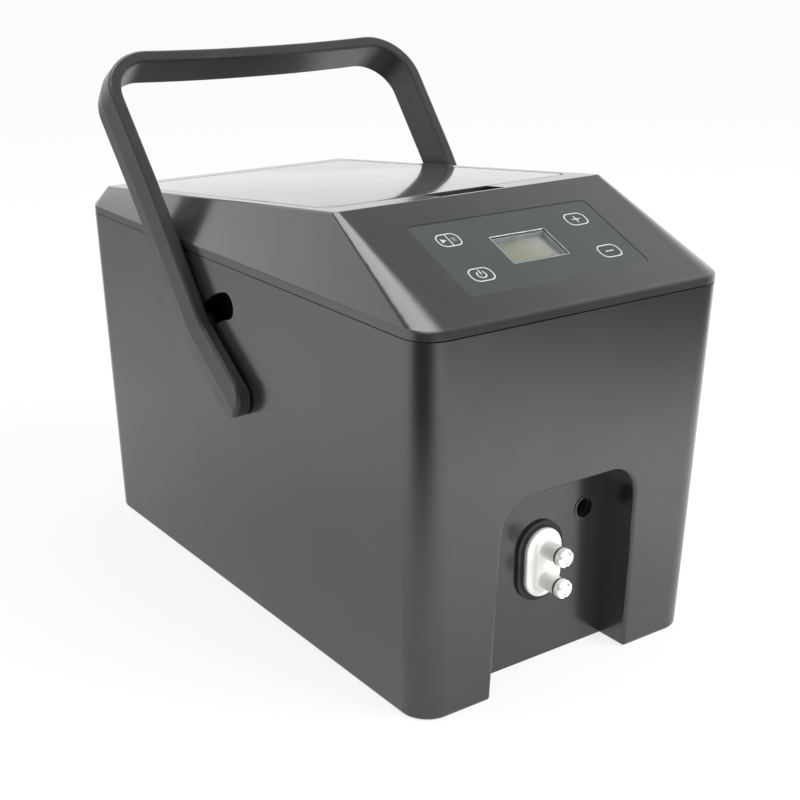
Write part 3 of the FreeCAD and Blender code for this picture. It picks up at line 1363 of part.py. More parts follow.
def pump_volute():
    """Cup-shaped pump casing with its upright outlet."""
    body = rod(VOLUTE_R, pump_point(VOLUTE_FRONT_Y), pump_point(COVER_Y - COVER_T))
    outlet_x = VOLUTE_R - OUTLET_R
    low = pump_point(VOLUTE_FRONT_Y + VOLUTE_L / 2, outlet_x)
    high = pump_point(VOLUTE_FRONT_Y + VOLUTE_L / 2, outlet_x, OUTLET_L)
    body = body.fuse(rod(OUTLET_R, low, high))
    body = body.fuse(barbed_stem(high, high + Vector(0, 0, BARB_L), BARB_R, BARB_BORE_R))
    body = body.cut(rod(BARB_BORE_R, low, high + Vector(0, 0, BARB_L)))
    body = body.cut(volute_chamber())
    return body.cut(rod(SHAFT_R + SHAFT_RUN_GAP, pump_point(VOLUTE_FRONT_Y - 1), pump_point(COVER_Y)))


def pump_screw_rods(radius, y0, y1):
    """Axes of the screws round the pump's cover."""
    reach = VOLUTE_R - VOLUTE_WALL / 2 + PUMP_SCREW_R
    rods = []
    for i in range(PUMP_SCREWS):
        angle = 2 * math.pi * (i + 0.5) / PUMP_SCREWS
        dx, dz = reach * math.cos(angle), reach * math.sin(angle)
        rods.append(rod(radius, pump_point(y0, dx, dz), pump_point(y1, dx, dz)))
    return rods


def pump_cover():
    """Lid of the pump with the inlet tail on its axis."""
    cover = rod(VOLUTE_R, pump_point(COVER_Y - COVER_T), pump_point(COVER_Y))
    for ear in pump_screw_rods(PUMP_EAR_R, COVER_Y - COVER_T, COVER_Y):
        cover = cover.fuse(ear)
    cover = cover.fuse(barbed_stem(pump_point(COVER_Y), pump_point(COVER_Y + BARB_L), BARB_R, BARB_BORE_R))
    cover = cover.cut(rod(BARB_BORE_R, pump_point(COVER_Y - COVER_T - 1), pump_point(COVER_Y + 1)))
    for hole in pump_screw_rods(PUMP_SCREW_R + SCREW_PLAY, COVER_Y - COVER_T - 1, COVER_Y + 1):
        cover = cover.cut(hole)
    return cover.removeSplitter()


def pump_screw_ears():
    """Ears on the volute that take the cover's screws."""
    return pump_screw_rods(PUMP_EAR_R, COVER_Y - COVER_T - PUMP_SCREW_L - 1, COVER_Y - COVER_T)


def pump_body():
    """Volute with its screw ears."""
    body = pump_volute()
    for ear in pump_screw_ears():
        body = body.fuse(ear.cut(volute_chamber()))
    root = COVER_Y - COVER_T - PUMP_SCREW_L - SCREW_PLAY
    for hole in pump_screw_rods(PUMP_SCREW_R + SCREW_PLAY, root, COVER_Y):
        body = body.cut(hole)
    return body.removeSplitter()


def pump_screws():
    """Four screws that close the pump."""
    heads = pump_screw_rods(PUMP_SCREW_HEAD_R, COVER_Y, COVER_Y + PUMP_SCREW_HEAD_H)
    shanks = pump_screw_rods(PUMP_SCREW_R, COVER_Y - COVER_T - PUMP_SCREW_L, COVER_Y)
    return Part.makeCompound([h.fuse(s).removeSplitter() for h, s in zip(heads, shanks)])


def impeller_root_y():
    """Back of the impeller's disc, a running gap off the volute's floor."""
    return VOLUTE_FRONT_Y + VOLUTE_WALL + RUN_GAP


def pump_impeller():
    """Disc with vanes on a hub."""
    y0 = impeller_root_y()
    wheel = rod(IMPELLER_R, pump_point(y0), pump_point(y0 + IMPELLER_DISC_T))
    wheel = wheel.fuse(rod(IMPELLER_HUB_R, pump_point(y0), pump_point(y0 + IMPELLER_L)))
    blade = block(PUMP_X, PUMP_X + IMPELLER_R, y0, y0 + IMPELLER_L, PUMP_Z - VANE_T / 2, PUMP_Z + VANE_T / 2)
    for i in range(VANES):
        vane = blade.copy()
        vane.rotate(pump_point(y0), Y_AXIS, 360.0 * i / VANES)
        wheel = wheel.fuse(vane)
    wheel = wheel.common(rod(IMPELLER_R, pump_point(y0), pump_point(y0 + IMPELLER_L)))
    return wheel.cut(rod(SHAFT_R, pump_point(y0 - 1), pump_point(y0 + IMPELLER_L + 1))).removeSplitter()


def pump_shaft():
    """Motor shaft that the impeller is pressed on."""
    return rod(SHAFT_R, pump_point(SHAFT_ROOT_Y), pump_point(impeller_root_y() + IMPELLER_L))


def pump_motor():
    """Motor can behind the volute, with the bore its shaft turns in."""
    can = rod(MOTOR_R, pump_point(MOTOR_END_Y), pump_point(VOLUTE_FRONT_Y))
    bore = rod(SHAFT_R + SHAFT_RUN_GAP, pump_point(SHAFT_ROOT_Y - 1), pump_point(VOLUTE_FRONT_Y + 1))
    return can.cut(bore)


def tank_fitting(x, z):
    """Flanged fitting through the tank's wall with a hose tail in front."""
    seat = Vector(x, tank_front_y(z, 0) + FITTING_FLANGE_R * TANK_DRAFT, z)
    stem_end = Vector(x, fitting_tail_y(z), z)
    flange_end = seat + Vector(0, FITTING_FLANGE_T, 0)
    body = rod(FITTING_FLANGE_R, seat, flange_end)
    body = body.fuse(rod(FITTING_R - SCREW_PLAY, stem_end, seat))
    body = body.fuse(barbed_stem(stem_end, stem_end - Vector(0, FITTING_REACH, 0), BARB_R, BARB_BORE_R))
    return body.cut(rod(BARB_BORE_R, stem_end - Y_AXIS, flange_end + Y_AXIS)).removeSplitter()


def fitting_tail_y(z):
    """Where the hose tail of a tank fitting starts."""
    return tank_front_y(z) - NUT_T - 2 * FITTING_FLANGE_R * TANK_DRAFT - 1


def tank_fittings():
    """Outlet and return fittings."""
    return Part.makeCompound([tank_fitting(PUMP_X, OUTLET_Z), tank_fitting(RETURN_X, RETURN_Z)])


def tank_nuts():
    """Ring nuts of the two tank fittings."""
    nuts = []
    for x, z in ((PUMP_X, OUTLET_Z), (RETURN_X, RETURN_Z)):
        slant = NUT_R * TANK_DRAFT
        y1 = tank_front_y(z) - slant
        nuts.append(ring(NUT_R, FITTING_R, Vector(x, y1 - NUT_T, z), Vector(x, y1, z)))
    return Part.makeCompound(nuts)


def intake_filter():
    """Mesh cup over the outlet inside the tank."""
    y0 = tank_front_y(OUTLET_Z, 0) + FITTING_FLANGE_R * TANK_DRAFT + FILTER_GAP
    radius = min(FILTER_R, OUTLET_Z - TANK_FLOOR_Z - TANK_WALL - FILTER_GAP)
    centre = Vector(PUMP_X, 0, OUTLET_Z)
    cup = rod(radius, centre + Vector(0, y0, 0), centre + Vector(0, y0 + FILTER_L, 0))
    return cup.cut(rod(radius - FILTER_WALL, centre + Vector(0, y0 - 1, 0),
                       centre + Vector(0, y0 + FILTER_L - FILTER_WALL, 0)))


def temperature_probe():
    """Thermistor pushed through the tank's wall."""
    outer = Vector(PROBE_X, tank_front_y(PROBE_Z) - FOAM_T, PROBE_Z)
    return rod(PROBE_R, outer, Vector(PROBE_X, tank_front_y(PROBE_Z, 0) + PROBE_IN, PROBE_Z))


def suction_hose():
    """Straight hose from the tank's outlet to the pump."""
    front = pump_point(COVER_Y + HOSE_END_GAP)
    rear = Vector(PUMP_X, fitting_tail_y(OUTLET_Z) - HOSE_END_GAP, OUTLET_Z)
    return ring(HOSE_R, BARB_R + BARB_RIDGE, front, rear)


def supply_route():
    """Corner points of the hose from the pump to the lower nozzle."""
    start = pump_point(VOLUTE_FRONT_Y + VOLUTE_L / 2, VOLUTE_R - OUTLET_R, OUTLET_L + HOSE_END_GAP)
    z = nozzle_heights()["lower"]
    end = on_nozzle(z, HOSE_MOUTH_Y)
    rise = start.z + BARB_L + SUPPLY_RISE
    turn_y = end.y + SUPPLY_REACH
    return [start, Vector(start.x, start.y, rise), on_nozzle(rise, turn_y), on_nozzle(z, turn_y), end]


def return_route():
    """Corner points of the hose from the upper nozzle back to the tank."""
    z = nozzle_heights()["upper"]
    start = on_nozzle(z, HOSE_MOUTH_Y)
    end = Vector(RETURN_X, fitting_tail_y(RETURN_Z) - HOSE_END_GAP, RETURN_Z)
    turn_y = start.y + RETURN_REACH
    return [start, Vector(start.x, turn_y, z), Vector(RETURN_X, turn_y, z + RETURN_RISE),
            Vector(RETURN_X, turn_y, RETURN_Z), end]


def hose_over_tails(route, radius):
    """Hose along a route; its bore clears the tails' ridges at both ends."""
    hose = tube_route(route, radius, HOSE_R, HOSE_BORE_R)
    ends = ((route[0], route[1]), (route[-1], route[-2]))
    for mouth, inward in ends:
        direction = (inward - mouth).normalize()
        hose = hose.cut(rod(BARB_R + BARB_RIDGE, mouth - direction, mouth + direction * BARB_L))
    return hose


def supply_hose():
    """Hose from the pump's outlet to the lower nozzle."""
    return hose_over_tails(supply_route(), SUPPLY_BEND_R)


def return_hose():
    """Hose from the upper nozzle to the tank."""
    return hose_over_tails(return_route(), RETURN_BEND_R)


def hose_clamps():
    """Spring bands on the hose ends."""
    bands = []
    for route in (supply_route(), return_route()):
        for mouth, inward in ((route[0], route[1]), (route[-1], route[-2])):
            direction = (inward - mouth).normalize()
            start = mouth + direction * HOSE_BAND_IN
            bands.append(ring(HOSE_R + HOSE_CLAMP_T, HOSE_R, start, start + direction * HOSE_CLAMP_W))
    return Part.makeCompound(bands)


def board_underside(x, drop):
    """Point under the control board's lower part, a distance down along its normal."""
    depth = board_top_depth() + BOARD_T + SCREW_PLAY + drop
    return SLOPE_FRAME.multVec(Vector(x, -board_bottom_s() + CABLE_IN_S, -depth))


def motor_cable():
    """Lead from the control board down to the pump's motor."""
    end = pump_point(MOTOR_END_Y + MOTOR_L / 2, 0, MOTOR_R)
    plug = board_underside(PUMP_X, 0)
    below = board_underside(PUMP_X, CABLE_TAIL)
    above_motor = Vector(PUMP_X, end.y, (below.z + end.z) / 2)
    return tube_route([plug, below, above_motor, end], CABLE_BEND_R, CABLE_R)


def power_cable():
    """Lead from the power socket up to the control board."""
    back = RECESS_INNER_Y + JACK_CUP_L + JACK_SOCKET_L + JACK_BACK_T
    start = Vector(JACK_X, back, JACK_Z)
    side = RETURN_X + POWER_CABLE_ASIDE
    behind = start + Vector(0, POWER_CABLE_REACH, 0)
    aside = Vector(side, behind.y, JACK_Z + side - JACK_X)
    return tube_route([start, behind, aside, board_underside(side, CABLE_TAIL), board_underside(side, 0)],
                      POWER_CABLE_BEND_R, CABLE_R)


# ---------------------------------------------------------------- export
PIECES = {
    "outer_tub": outer_tub, "rubber_feet": rubber_feet, "housing_screws": housing_screws,
    "top_housing": top_housing, "inner_tank": inner_tank, "tank_screws": tank_screws, "tank_foam": tank_foam,
    "lid_cover": lid_cover, "lid_liner": lid_liner, "lid_foam": lid_foam, "lid_seal": lid_seal,
    "panel_overlay": panel_overlay, "display_lens": display_lens, "display_module": display_module,
    "key_switches": key_switches, "control_board": control_board, "board_screws": board_screws,
    "coupling_gasket": coupling_gasket, "coupling_body": coupling_body, "coupling_clamp": coupling_clamp,
    "coupling_screws": coupling_screws, "nozzle_o_rings": nozzle_o_rings,
    "power_socket": power_socket, "socket_bezel": socket_bezel,
    "power_socket_nut": power_socket_nut,
    "carry_handle": carry_handle, "handle_pivot_pins": handle_pivot_pins, "handle_bushes": handle_bushes,
    "handle_clips": handle_clips, "handle_stop_pegs": handle_stop_pegs,
    "pump_body": pump_body, "pump_cover": pump_cover, "pump_screws": pump_screws,
    "pump_impeller": pump_impeller, "pump_shaft": pump_shaft, "pump_motor": pump_motor,
    "tank_fittings": tank_fittings, "tank_nuts": tank_nuts, "intake_filter": intake_filter,
    "temperature_probe": temperature_probe, "suction_hose": suction_hose, "supply_hose": supply_hose,
    "return_hose": return_hose, "hose_clamps": hose_clamps, "motor_cable": motor_cable,
    "power_cable": power_cable,
}
for _name in key_spots():
    PIECES[_name] = lambda name=_name: key_cap(name)
for _which in nozzle_heights():
    PIECES["valve_poppet_" + _which] = lambda which=_which: valve_poppet(which)
    PIECES["valve_spring_" + _which] = lambda which=_which: valve_spring(which)


def main():
    """Write one STEP file per piece."""
    os.makedirs("parts", exist_ok=True)
    for node, make in PIECES.items():
        shape = make()
        shape.exportStep("parts/" + node + ".step")
        state = "valid" if shape.isValid() else "INVALID"
        print(node, len(shape.Solids), "solids", round(shape.Volume), "mm3", state)


main()
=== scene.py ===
"""Looks of the hot and cold therapy machine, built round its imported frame.

Metres, in the machine's own frame: the origin is the middle of the footprint on the ground, +Z is up,
and the key panel and the hose coupling face -Y.
"""

import logging
import math
from collections.abc import Callable, Iterable, Sequence
from dataclasses import dataclass, field
from enum import Enum

import bmesh
import bpy
from mathutils import Matrix, Vector


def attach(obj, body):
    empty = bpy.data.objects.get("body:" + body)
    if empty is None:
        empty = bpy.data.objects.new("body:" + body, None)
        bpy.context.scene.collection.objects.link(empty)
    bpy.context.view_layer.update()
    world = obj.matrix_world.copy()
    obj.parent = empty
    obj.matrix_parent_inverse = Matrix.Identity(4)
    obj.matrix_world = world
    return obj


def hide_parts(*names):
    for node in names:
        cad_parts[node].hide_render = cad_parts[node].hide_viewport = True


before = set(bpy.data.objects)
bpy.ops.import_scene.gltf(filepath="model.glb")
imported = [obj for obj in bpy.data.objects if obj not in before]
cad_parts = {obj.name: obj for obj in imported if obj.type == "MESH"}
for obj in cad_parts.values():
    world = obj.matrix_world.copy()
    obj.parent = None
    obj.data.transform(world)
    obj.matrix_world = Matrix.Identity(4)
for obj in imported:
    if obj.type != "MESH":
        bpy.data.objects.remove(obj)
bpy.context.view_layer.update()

log = logging.getLogger("therapy_machine")

MM = 0.001
Colour = tuple[float, float, float, float]
Outline = list[tuple[float, float]]
Ring = list[Vector]


def srgb(red: int, green: int, blue: int) -> Colour:
    """Turn a screen colour into the linear colour that a shader takes.

    Args:
        red: Red, 0 to 255.
        green: Green, 0 to 255.
        blue: Blue, 0 to 255.

    Returns:
        The linear colour with full alpha.
    """
    def linear(value: int) -> float:
        """One channel, linear."""
        share = value / 255
        return share / 12.92 if share <= 0.04045 else ((share + 0.055) / 1.055) ** 2.4
    return linear(red), linear(green), linear(blue), 1.0


# ---------------------------------------------------------------- drawing shader nodes
class Sheet:
    """A node tree under construction."""

    def __init__(self, tree: bpy.types.NodeTree) -> None:
        """Start on a tree."""
        self.tree = tree

    def feed(self, socket: bpy.types.NodeSocket, value: object) -> None:
        """Give a socket a value, or wire another socket to it.

        Args:
            socket: The input.
            value: A number, a colour or an output socket.
        """
        if isinstance(value, bpy.types.NodeSocket):
            self.tree.links.new(value, socket)
        else:
            socket.default_value = value

    def add(self, kind: str, inputs: dict[str, object] | None = None, **settings: object) -> bpy.types.Node:
        """Place a node.

        Args:
            kind: The node's type name.
            inputs: What goes in its sockets, by the sockets' names.
            **settings: Its options.

        Returns:
            The node.
        """
        node = self.tree.nodes.new(kind)
        for name, value in settings.items():
            setattr(node, name, value)
        for name, value in (inputs or {}).items():
            self.feed(node.inputs[name], value)
        return node

    def place(self) -> bpy.types.NodeSocket:
        """Where a point is, in the machine's frame."""
        return self.add("ShaderNodeTexCoord").outputs["Object"]

    def height(self) -> bpy.types.NodeSocket:
        """How high a point is, in the machine's frame."""
        return self.add("ShaderNodeSeparateXYZ", {"Vector": self.place()}).outputs["Z"]

    def noise(self, place: object, scale: object, detail: float, roughness: float = 0.5,
              distortion: float = 0.0) -> bpy.types.NodeSocket:
        """Place a noise.

        Args:
            place: Where it is read.
            scale: Its scale.
            detail: Octaves.
            roughness: How strong the finer octaves are.
            distortion: How far it is warped.

        Returns:
            The noise's socket, 0 to 1.
        """
        node = self.add("ShaderNodeTexNoise", {"Vector": place, "Scale": scale, "Detail": detail,
                                               "Roughness": roughness, "Distortion": distortion})
        return node.outputs["Fac"]

    def vector_maths(self, operation: str, first: object, second: object = None) -> bpy.types.Node:
        """Combine two vectors.

        Args:
            operation: The Vector Math node's operation.
            first: A vector or socket.
            second: A vector or socket, or nothing.

        Returns:
            The node.
        """
        node = self.add("ShaderNodeVectorMath", operation=operation)
        self.feed(node.inputs[0], first)
        if second is not None:
            self.feed(node.inputs[1], second)
        return node

    def product(self, *factors: object) -> bpy.types.NodeSocket:
        """Multiply numbers.

        Args:
            *factors: Two or more numbers or sockets.

        Returns:
            The product's socket.
        """
        result = factors[0]
        for factor in factors[1:]:
            result = self.maths("MULTIPLY", result, factor)
        return result

    def maths(self, operation: str, first: object, second: object = 0.0) -> bpy.types.NodeSocket:
        """Combine two numbers.

        Args:
            operation: The Math node's operation.
            first: A number or socket.
            second: A number or socket.

        Returns:
            The result's socket.
        """
        node = self.add("ShaderNodeMath", operation=operation)
        self.feed(node.inputs[0], first)
        self.feed(node.inputs[1], second)
        return node.outputs[0]

    def ramp(self, value: object, low: float, high: float) -> bpy.types.NodeSocket:
        """Ease a number from 0 at one value to 1 at another.

        Args:
            value: A number or socket.
            low: Where the result is 0.
            high: Where it is 1.

        Returns:
            The result's socket.
        """
        node = self.add("ShaderNodeMapRange", {"Value": value, "From Min": low, "From Max": high},
                        interpolation_type="SMOOTHSTEP")
        return node.outputs[0]

    def blend(self, share: object, first: object, second: object) -> bpy.types.NodeSocket:
        """Mix two colours.

        Args:
            share: How much of the second, 0 to 1.
            first: A colour or socket.
            second: A colour or socket.

        Returns:
            The mixed colour's socket.
        """
        node = self.add("ShaderNodeMix", data_type="RGBA")
        self.feed(node.inputs[0], share)
        self.feed(node.inputs[6], first)
        self.feed(node.inputs[7], second)
        return node.outputs[2]


class Effect(Enum):
    """Effects that several finishes share, each a shader node group."""

    GRAIN = "moulded_grain"
    HANDLING = "handled_gloss"
    WEAR = "worn_edges"
    DUST = "settled_dust"


class EffectShelf:
    """Builds each shared effect once and places it in materials."""

    def __init__(self) -> None:
        """Build the four groups."""
        self.groups = {Effect.GRAIN: self.grain(), Effect.HANDLING: self.handling(),
                       Effect.WEAR: self.wear(), Effect.DUST: self.dust()}

    @staticmethod
    def start(effect: Effect, inputs: Sequence[str], outputs: Sequence[str]) -> tuple[Sheet, object, object]:
        """Open a group with its sockets.

        Args:
            effect: Which effect it is.
            inputs: Names of its number inputs.
            outputs: Names of its number outputs.

        Returns:
            The sheet, the group's input node and its output node.
        """
        group = bpy.data.node_groups.new(effect.value, "ShaderNodeTree")
        for name in inputs:
            group.interface.new_socket(name, in_out="INPUT", socket_type="NodeSocketFloat")
        for name in outputs:
            group.interface.new_socket(name, in_out="OUTPUT", socket_type="NodeSocketFloat")
        sheet = Sheet(group)
        return sheet, sheet.add("NodeGroupInput"), sheet.add("NodeGroupOutput")

    def grain(self) -> bpy.types.NodeTree:
        """Draw the fine relief of a textured mould, and a slow drift of tone.

        Returns:
            The group.
        """
        sheet, given, result = self.start(Effect.GRAIN, ["Grain Size", "Drift Size"], ["Height", "Drift"])
        place = sheet.place()
        fine = sheet.noise(place, sheet.maths("DIVIDE", 1.0, given.outputs["Grain Size"]), 2.0, 0.6)
        slow = sheet.noise(place, sheet.maths("DIVIDE", 1.0, given.outputs["Drift Size"]), 3.0, 0.55)
        sheet.feed(result.inputs["Height"], fine)
        sheet.feed(result.inputs["Drift"], sheet.ramp(slow, 0.32, 0.68))
        return sheet.tree

    def handling(self) -> bpy.types.NodeTree:
        """Draw the gloss that changes where hands and cloths have been.

        Returns:
            The group.
        """
        sheet, given, result = self.start(Effect.HANDLING, ["Clean", "Handled", "Patch Size"], ["Roughness"])
        scale = sheet.maths("DIVIDE", 1.0, given.outputs["Patch Size"])
        share = sheet.ramp(sheet.noise(sheet.place(), scale, 4.0, 0.62, 0.4), 0.42, 0.7)
        extra = sheet.maths("SUBTRACT", given.outputs["Handled"], given.outputs["Clean"])
        rough = sheet.maths("ADD", given.outputs["Clean"], sheet.product(extra, share))
        sheet.feed(result.inputs["Roughness"], rough)
        return sheet.tree

    def wear(self) -> bpy.types.NodeTree:
        """Mask the edges that have rubbed bare, broken up by a noise.

        Returns:
            The group.
        """
        sheet, given, result = self.start(Effect.WEAR, ["Reach", "Amount"], ["Mask"])
        rounded = sheet.add("ShaderNodeBevel", {"Radius": given.outputs["Reach"]}, samples=4)
        flat = sheet.add("ShaderNodeNewGeometry").outputs["Normal"]
        turn = sheet.vector_maths("DOT_PRODUCT", rounded.outputs["Normal"], flat).outputs["Value"]
        edge = sheet.ramp(sheet.maths("SUBTRACT", 1.0, turn), 0.01, 0.12)
        share = sheet.ramp(sheet.noise(sheet.place(), 90.0, 3.0), 0.38, 0.72)
        sheet.feed(result.inputs["Mask"], sheet.product(edge, share, given.outputs["Amount"]))
        return sheet.tree

    def dust(self) -> bpy.types.NodeTree:
        """Mask the fine dust that lies on what faces up.

        Returns:
            The group.
        """
        sheet, given, result = self.start(Effect.DUST, ["Amount"], ["Mask"])
        normal = sheet.add("ShaderNodeNewGeometry").outputs["Normal"]
        facing = sheet.add("ShaderNodeSeparateXYZ", {"Vector": normal}).outputs["Z"]
        place = sheet.place()
        specks = sheet.ramp(sheet.noise(place, 700.0, 2.0), 0.5, 0.75)
        drifts = sheet.ramp(sheet.noise(place, 14.0, 4.0), 0.35, 0.75)
        up = sheet.ramp(facing, 0.35, 0.95)
        sheet.feed(result.inputs["Mask"], sheet.product(specks, drifts, up, given.outputs["Amount"]))
        return sheet.tree

    def place(self, sheet: Sheet, effect: Effect, **values: float) -> bpy.types.Node:
        """Put an effect in a material with its own values.

        Args:
            sheet: The material's sheet.
            effect: Which effect.
            **values: Its inputs, with underscores for the spaces in their names.

        Returns:
            The group node.
        """
        node = sheet.add("ShaderNodeGroup", node_tree=self.groups[effect])
        for name, value in values.items():
            node.inputs[name.replace("_", " ")].default_value = value
        return node


# ---------------------------------------------------------------- finishes
@dataclass(frozen=True)
class Finish:
    """A moulded, painted or plated surface."""

    name: str
    colour: Colour
    drift: Colour                   # tone that the colour drifts towards in places
    roughness: float
    handled: float                  # roughness where hands have been
    grain_size: float = 0.6 * MM
    relief: float = 0.01 * MM
    ior: float = 1.5
    coat: float = 0.0
    coat_roughness: float = 0.1
    coat_ior: float = 1.5
    metallic: float = 0.0
    worn: Colour = srgb(150, 150, 150)
    wear: float = 0.0
    wear_reach: float = 0.5 * MM
    dust: float = 0.0
    patch_size: float = 45 * MM

    def start(self) -> tuple[bpy.types.Material, Sheet]:
        """Make the empty material.

        Returns:
            The material and the sheet of its nodes.
        """
        material = bpy.data.materials.new(self.name)
        material.use_nodes = True
        material.node_tree.nodes.clear()
        return material, Sheet(material.node_tree)

    def shade(self, sheet: Sheet, shelf: EffectShelf) -> bpy.types.Node:
        """Draw the surface's shader.

        Args:
            sheet: The material's sheet.
            shelf: The shared effects.

        Returns:
            The Principled node.
        """
        grain = shelf.place(sheet, Effect.GRAIN, Grain_Size=self.grain_size, Drift_Size=self.patch_size)
        colour = sheet.blend(grain.outputs["Drift"], self.colour, self.drift)
        if self.wear:
            worn = shelf.place(sheet, Effect.WEAR, Reach=self.wear_reach, Amount=self.wear)
            colour = sheet.blend(worn.outputs["Mask"], colour, self.worn)
        if self.dust:
            dust = shelf.place(sheet, Effect.DUST, Amount=self.dust)
            colour = sheet.blend(dust.outputs["Mask"], colour, srgb(176, 172, 166))
        gloss = shelf.place(sheet, Effect.HANDLING, Clean=self.roughness, Handled=self.handled,
                            Patch_Size=self.patch_size)
        bump = sheet.add("ShaderNodeBump", {"Height": grain.outputs["Height"], "Distance": self.relief})
        self.shape(sheet, bump)
        return sheet.add("ShaderNodeBsdfPrincipled", {
            "Base Color": self.tint(sheet, colour), "Roughness": gloss.outputs["Roughness"],
            "Normal": bump.outputs["Normal"], "IOR": self.ior, "Coat Weight": self.coat,
            "Coat Roughness": self.coat_roughness, "Coat IOR": self.coat_ior, "Metallic": self.metallic})

    def shape(self, sheet: Sheet, bump: bpy.types.Node) -> None:
        """Leave the surface's own normal under the relief."""

    def tint(self, sheet: Sheet, colour: bpy.types.NodeSocket) -> bpy.types.NodeSocket:
        """Leave the colour as it is."""
        return colour

    def build(self, shelf: EffectShelf) -> bpy.types.Material:
        """Make the material.

        Args:
            shelf: The shared effects.

        Returns:
            The finished material.
        """
        material, sheet = self.start()
        shader = self.shade(sheet, shelf)
        sheet.add("ShaderNodeOutputMaterial", {"Surface": shader.outputs[0]})
        return material


@dataclass(frozen=True)
class RolledCase(Finish):
    """Case moulding with a rolled band under the key panel and painted shadow in its seam groove."""

    band: tuple[float, float] = (242.9 * MM, 249.4 * MM)
    roll: float = 0.6                       # how far the band's normal leans up
    groove: tuple[float, float] = (241.97 * MM, 242.83 * MM)
    ease: float = 0.25 * MM
    groove_ease: float = 0.02 * MM
    shadow: Colour = srgb(4, 4, 4)          # painted shadow colour deep in the groove

    def between(self, sheet: Sheet, value: object, span: tuple[float, float],
                ease: float) -> bpy.types.NodeSocket:
        """Mask a span of heights.

        Args:
            sheet: The material's sheet.
            value: The height.
            span: Lowest and highest.
            ease: Width of the mask's soft ends.

        Returns:
            The mask's socket.
        """
        rise = sheet.ramp(value, span[0] - ease, span[0] + ease)
        fall = sheet.ramp(value, span[1] - ease, span[1] + ease)
        return sheet.maths("SUBTRACT", rise, fall)

    def shape(self, sheet: Sheet, bump: bpy.types.Node) -> None:
        """Lean the band's normal up where it faces forwards.

        Args:
            sheet: The material's sheet.
            bump: The relief's node.
        """
        normal = sheet.add("ShaderNodeNewGeometry").outputs["Normal"]
        facing = sheet.add("ShaderNodeSeparateXYZ", {"Vector": normal}).outputs["Y"]
        ahead = sheet.ramp(sheet.product(facing, -1.0), 0.2, 0.75)
        mask = sheet.product(self.between(sheet, sheet.height(), self.band, self.ease), ahead)
        lift = sheet.add("ShaderNodeCombineXYZ", {"Z": sheet.product(mask, self.roll)})
        leaned = sheet.vector_maths("ADD", normal, lift.outputs[0]).outputs[0]
        sheet.feed(bump.inputs["Normal"], sheet.vector_maths("NORMALIZE", leaned).outputs[0])

    def tint(self, sheet: Sheet, colour: bpy.types.NodeSocket) -> bpy.types.NodeSocket:
        """Paint shadow into the seam's groove.

        Args:
            sheet: The material's sheet.
            colour: The case's colour.

        Returns:
            The colour's socket.
        """
        # painted shadow: the groove's band of heights blends to the near-black shadow colour
        mask = self.between(sheet, sheet.height(), self.groove, self.groove_ease)
        return sheet.blend(mask, colour, self.shadow)


@dataclass(frozen=True)
class WindowGlass(Finish):
    """Clear window that lets the lamps through to what is behind it."""

    def build(self, shelf: EffectShelf) -> bpy.types.Material:
        """Make the material.

        Args:
            shelf: The shared effects.

        Returns:
            The finished material.
        """
        material, sheet = self.start()
        gloss = shelf.place(sheet, Effect.HANDLING, Clean=self.roughness, Handled=self.handled,
                            Patch_Size=self.patch_size)
        glass = sheet.add("ShaderNodeBsdfPrincipled", {
            "Base Color": self.colour, "Roughness": gloss.outputs["Roughness"], "IOR": self.ior,
            "Transmission Weight": 1.0})
        clear = sheet.add("ShaderNodeBsdfTransparent", {"Color": self.drift})
        path = sheet.add("ShaderNodeLightPath")
        mix = sheet.add("ShaderNodeMixShader", {"Fac": path.outputs["Is Shadow Ray"]})
        sheet.feed(mix.inputs[1], glass.outputs[0])
        sheet.feed(mix.inputs[2], clear.outputs[0])
        sheet.add("ShaderNodeOutputMaterial", {"Surface": mix.outputs[0]})
        return material


@dataclass(frozen=True)
class LiquidCrystal(Finish):
    """Unlit display cell: an olive polariser with a painted reflection that changes across it."""

    # lighter tone of the painted reflection, blended in across the cell
    painted_reflection: Colour = srgb(138, 136, 132)
    middle: tuple[float, float, float] = (0.0, -0.164, 0.27)
    spread: float = 20 * MM
    lean: float = 1.6                       # how much the painted reflection turns with the height

    def shade(self, sheet: Sheet, shelf: EffectShelf) -> bpy.types.Node:
        """Draw the cell's shader.

        Args:
            sheet: The material's sheet.
            shelf: The shared effects.

        Returns:
            The Principled node.
        """
        # painted reflection: a diagonal blend from the cell's colour to a lighter glare tone
        parts = sheet.add("ShaderNodeSeparateXYZ", {"Vector": sheet.place()})
        across = sheet.maths("SUBTRACT", parts.outputs["X"], self.middle[0])
        rise = sheet.maths("SUBTRACT", parts.outputs["Z"], self.middle[2])
        diagonal = sheet.maths("ADD", across, sheet.product(rise, self.lean))
        share = sheet.ramp(diagonal, -self.spread, self.spread)
        grain = shelf.place(sheet, Effect.GRAIN, Grain_Size=self.grain_size, Drift_Size=self.patch_size)
        colour = sheet.blend(share, self.colour, self.painted_reflection)
        colour = sheet.blend(sheet.product(grain.outputs["Drift"], 0.3), colour, self.drift)
        bump = sheet.add("ShaderNodeBump", {"Height": grain.outputs["Height"], "Distance": self.relief})
        return sheet.add("ShaderNodeBsdfPrincipled", {
            "Base Color": colour, "Roughness": self.roughness, "Normal": bump.outputs["Normal"],
            "IOR": self.ior})


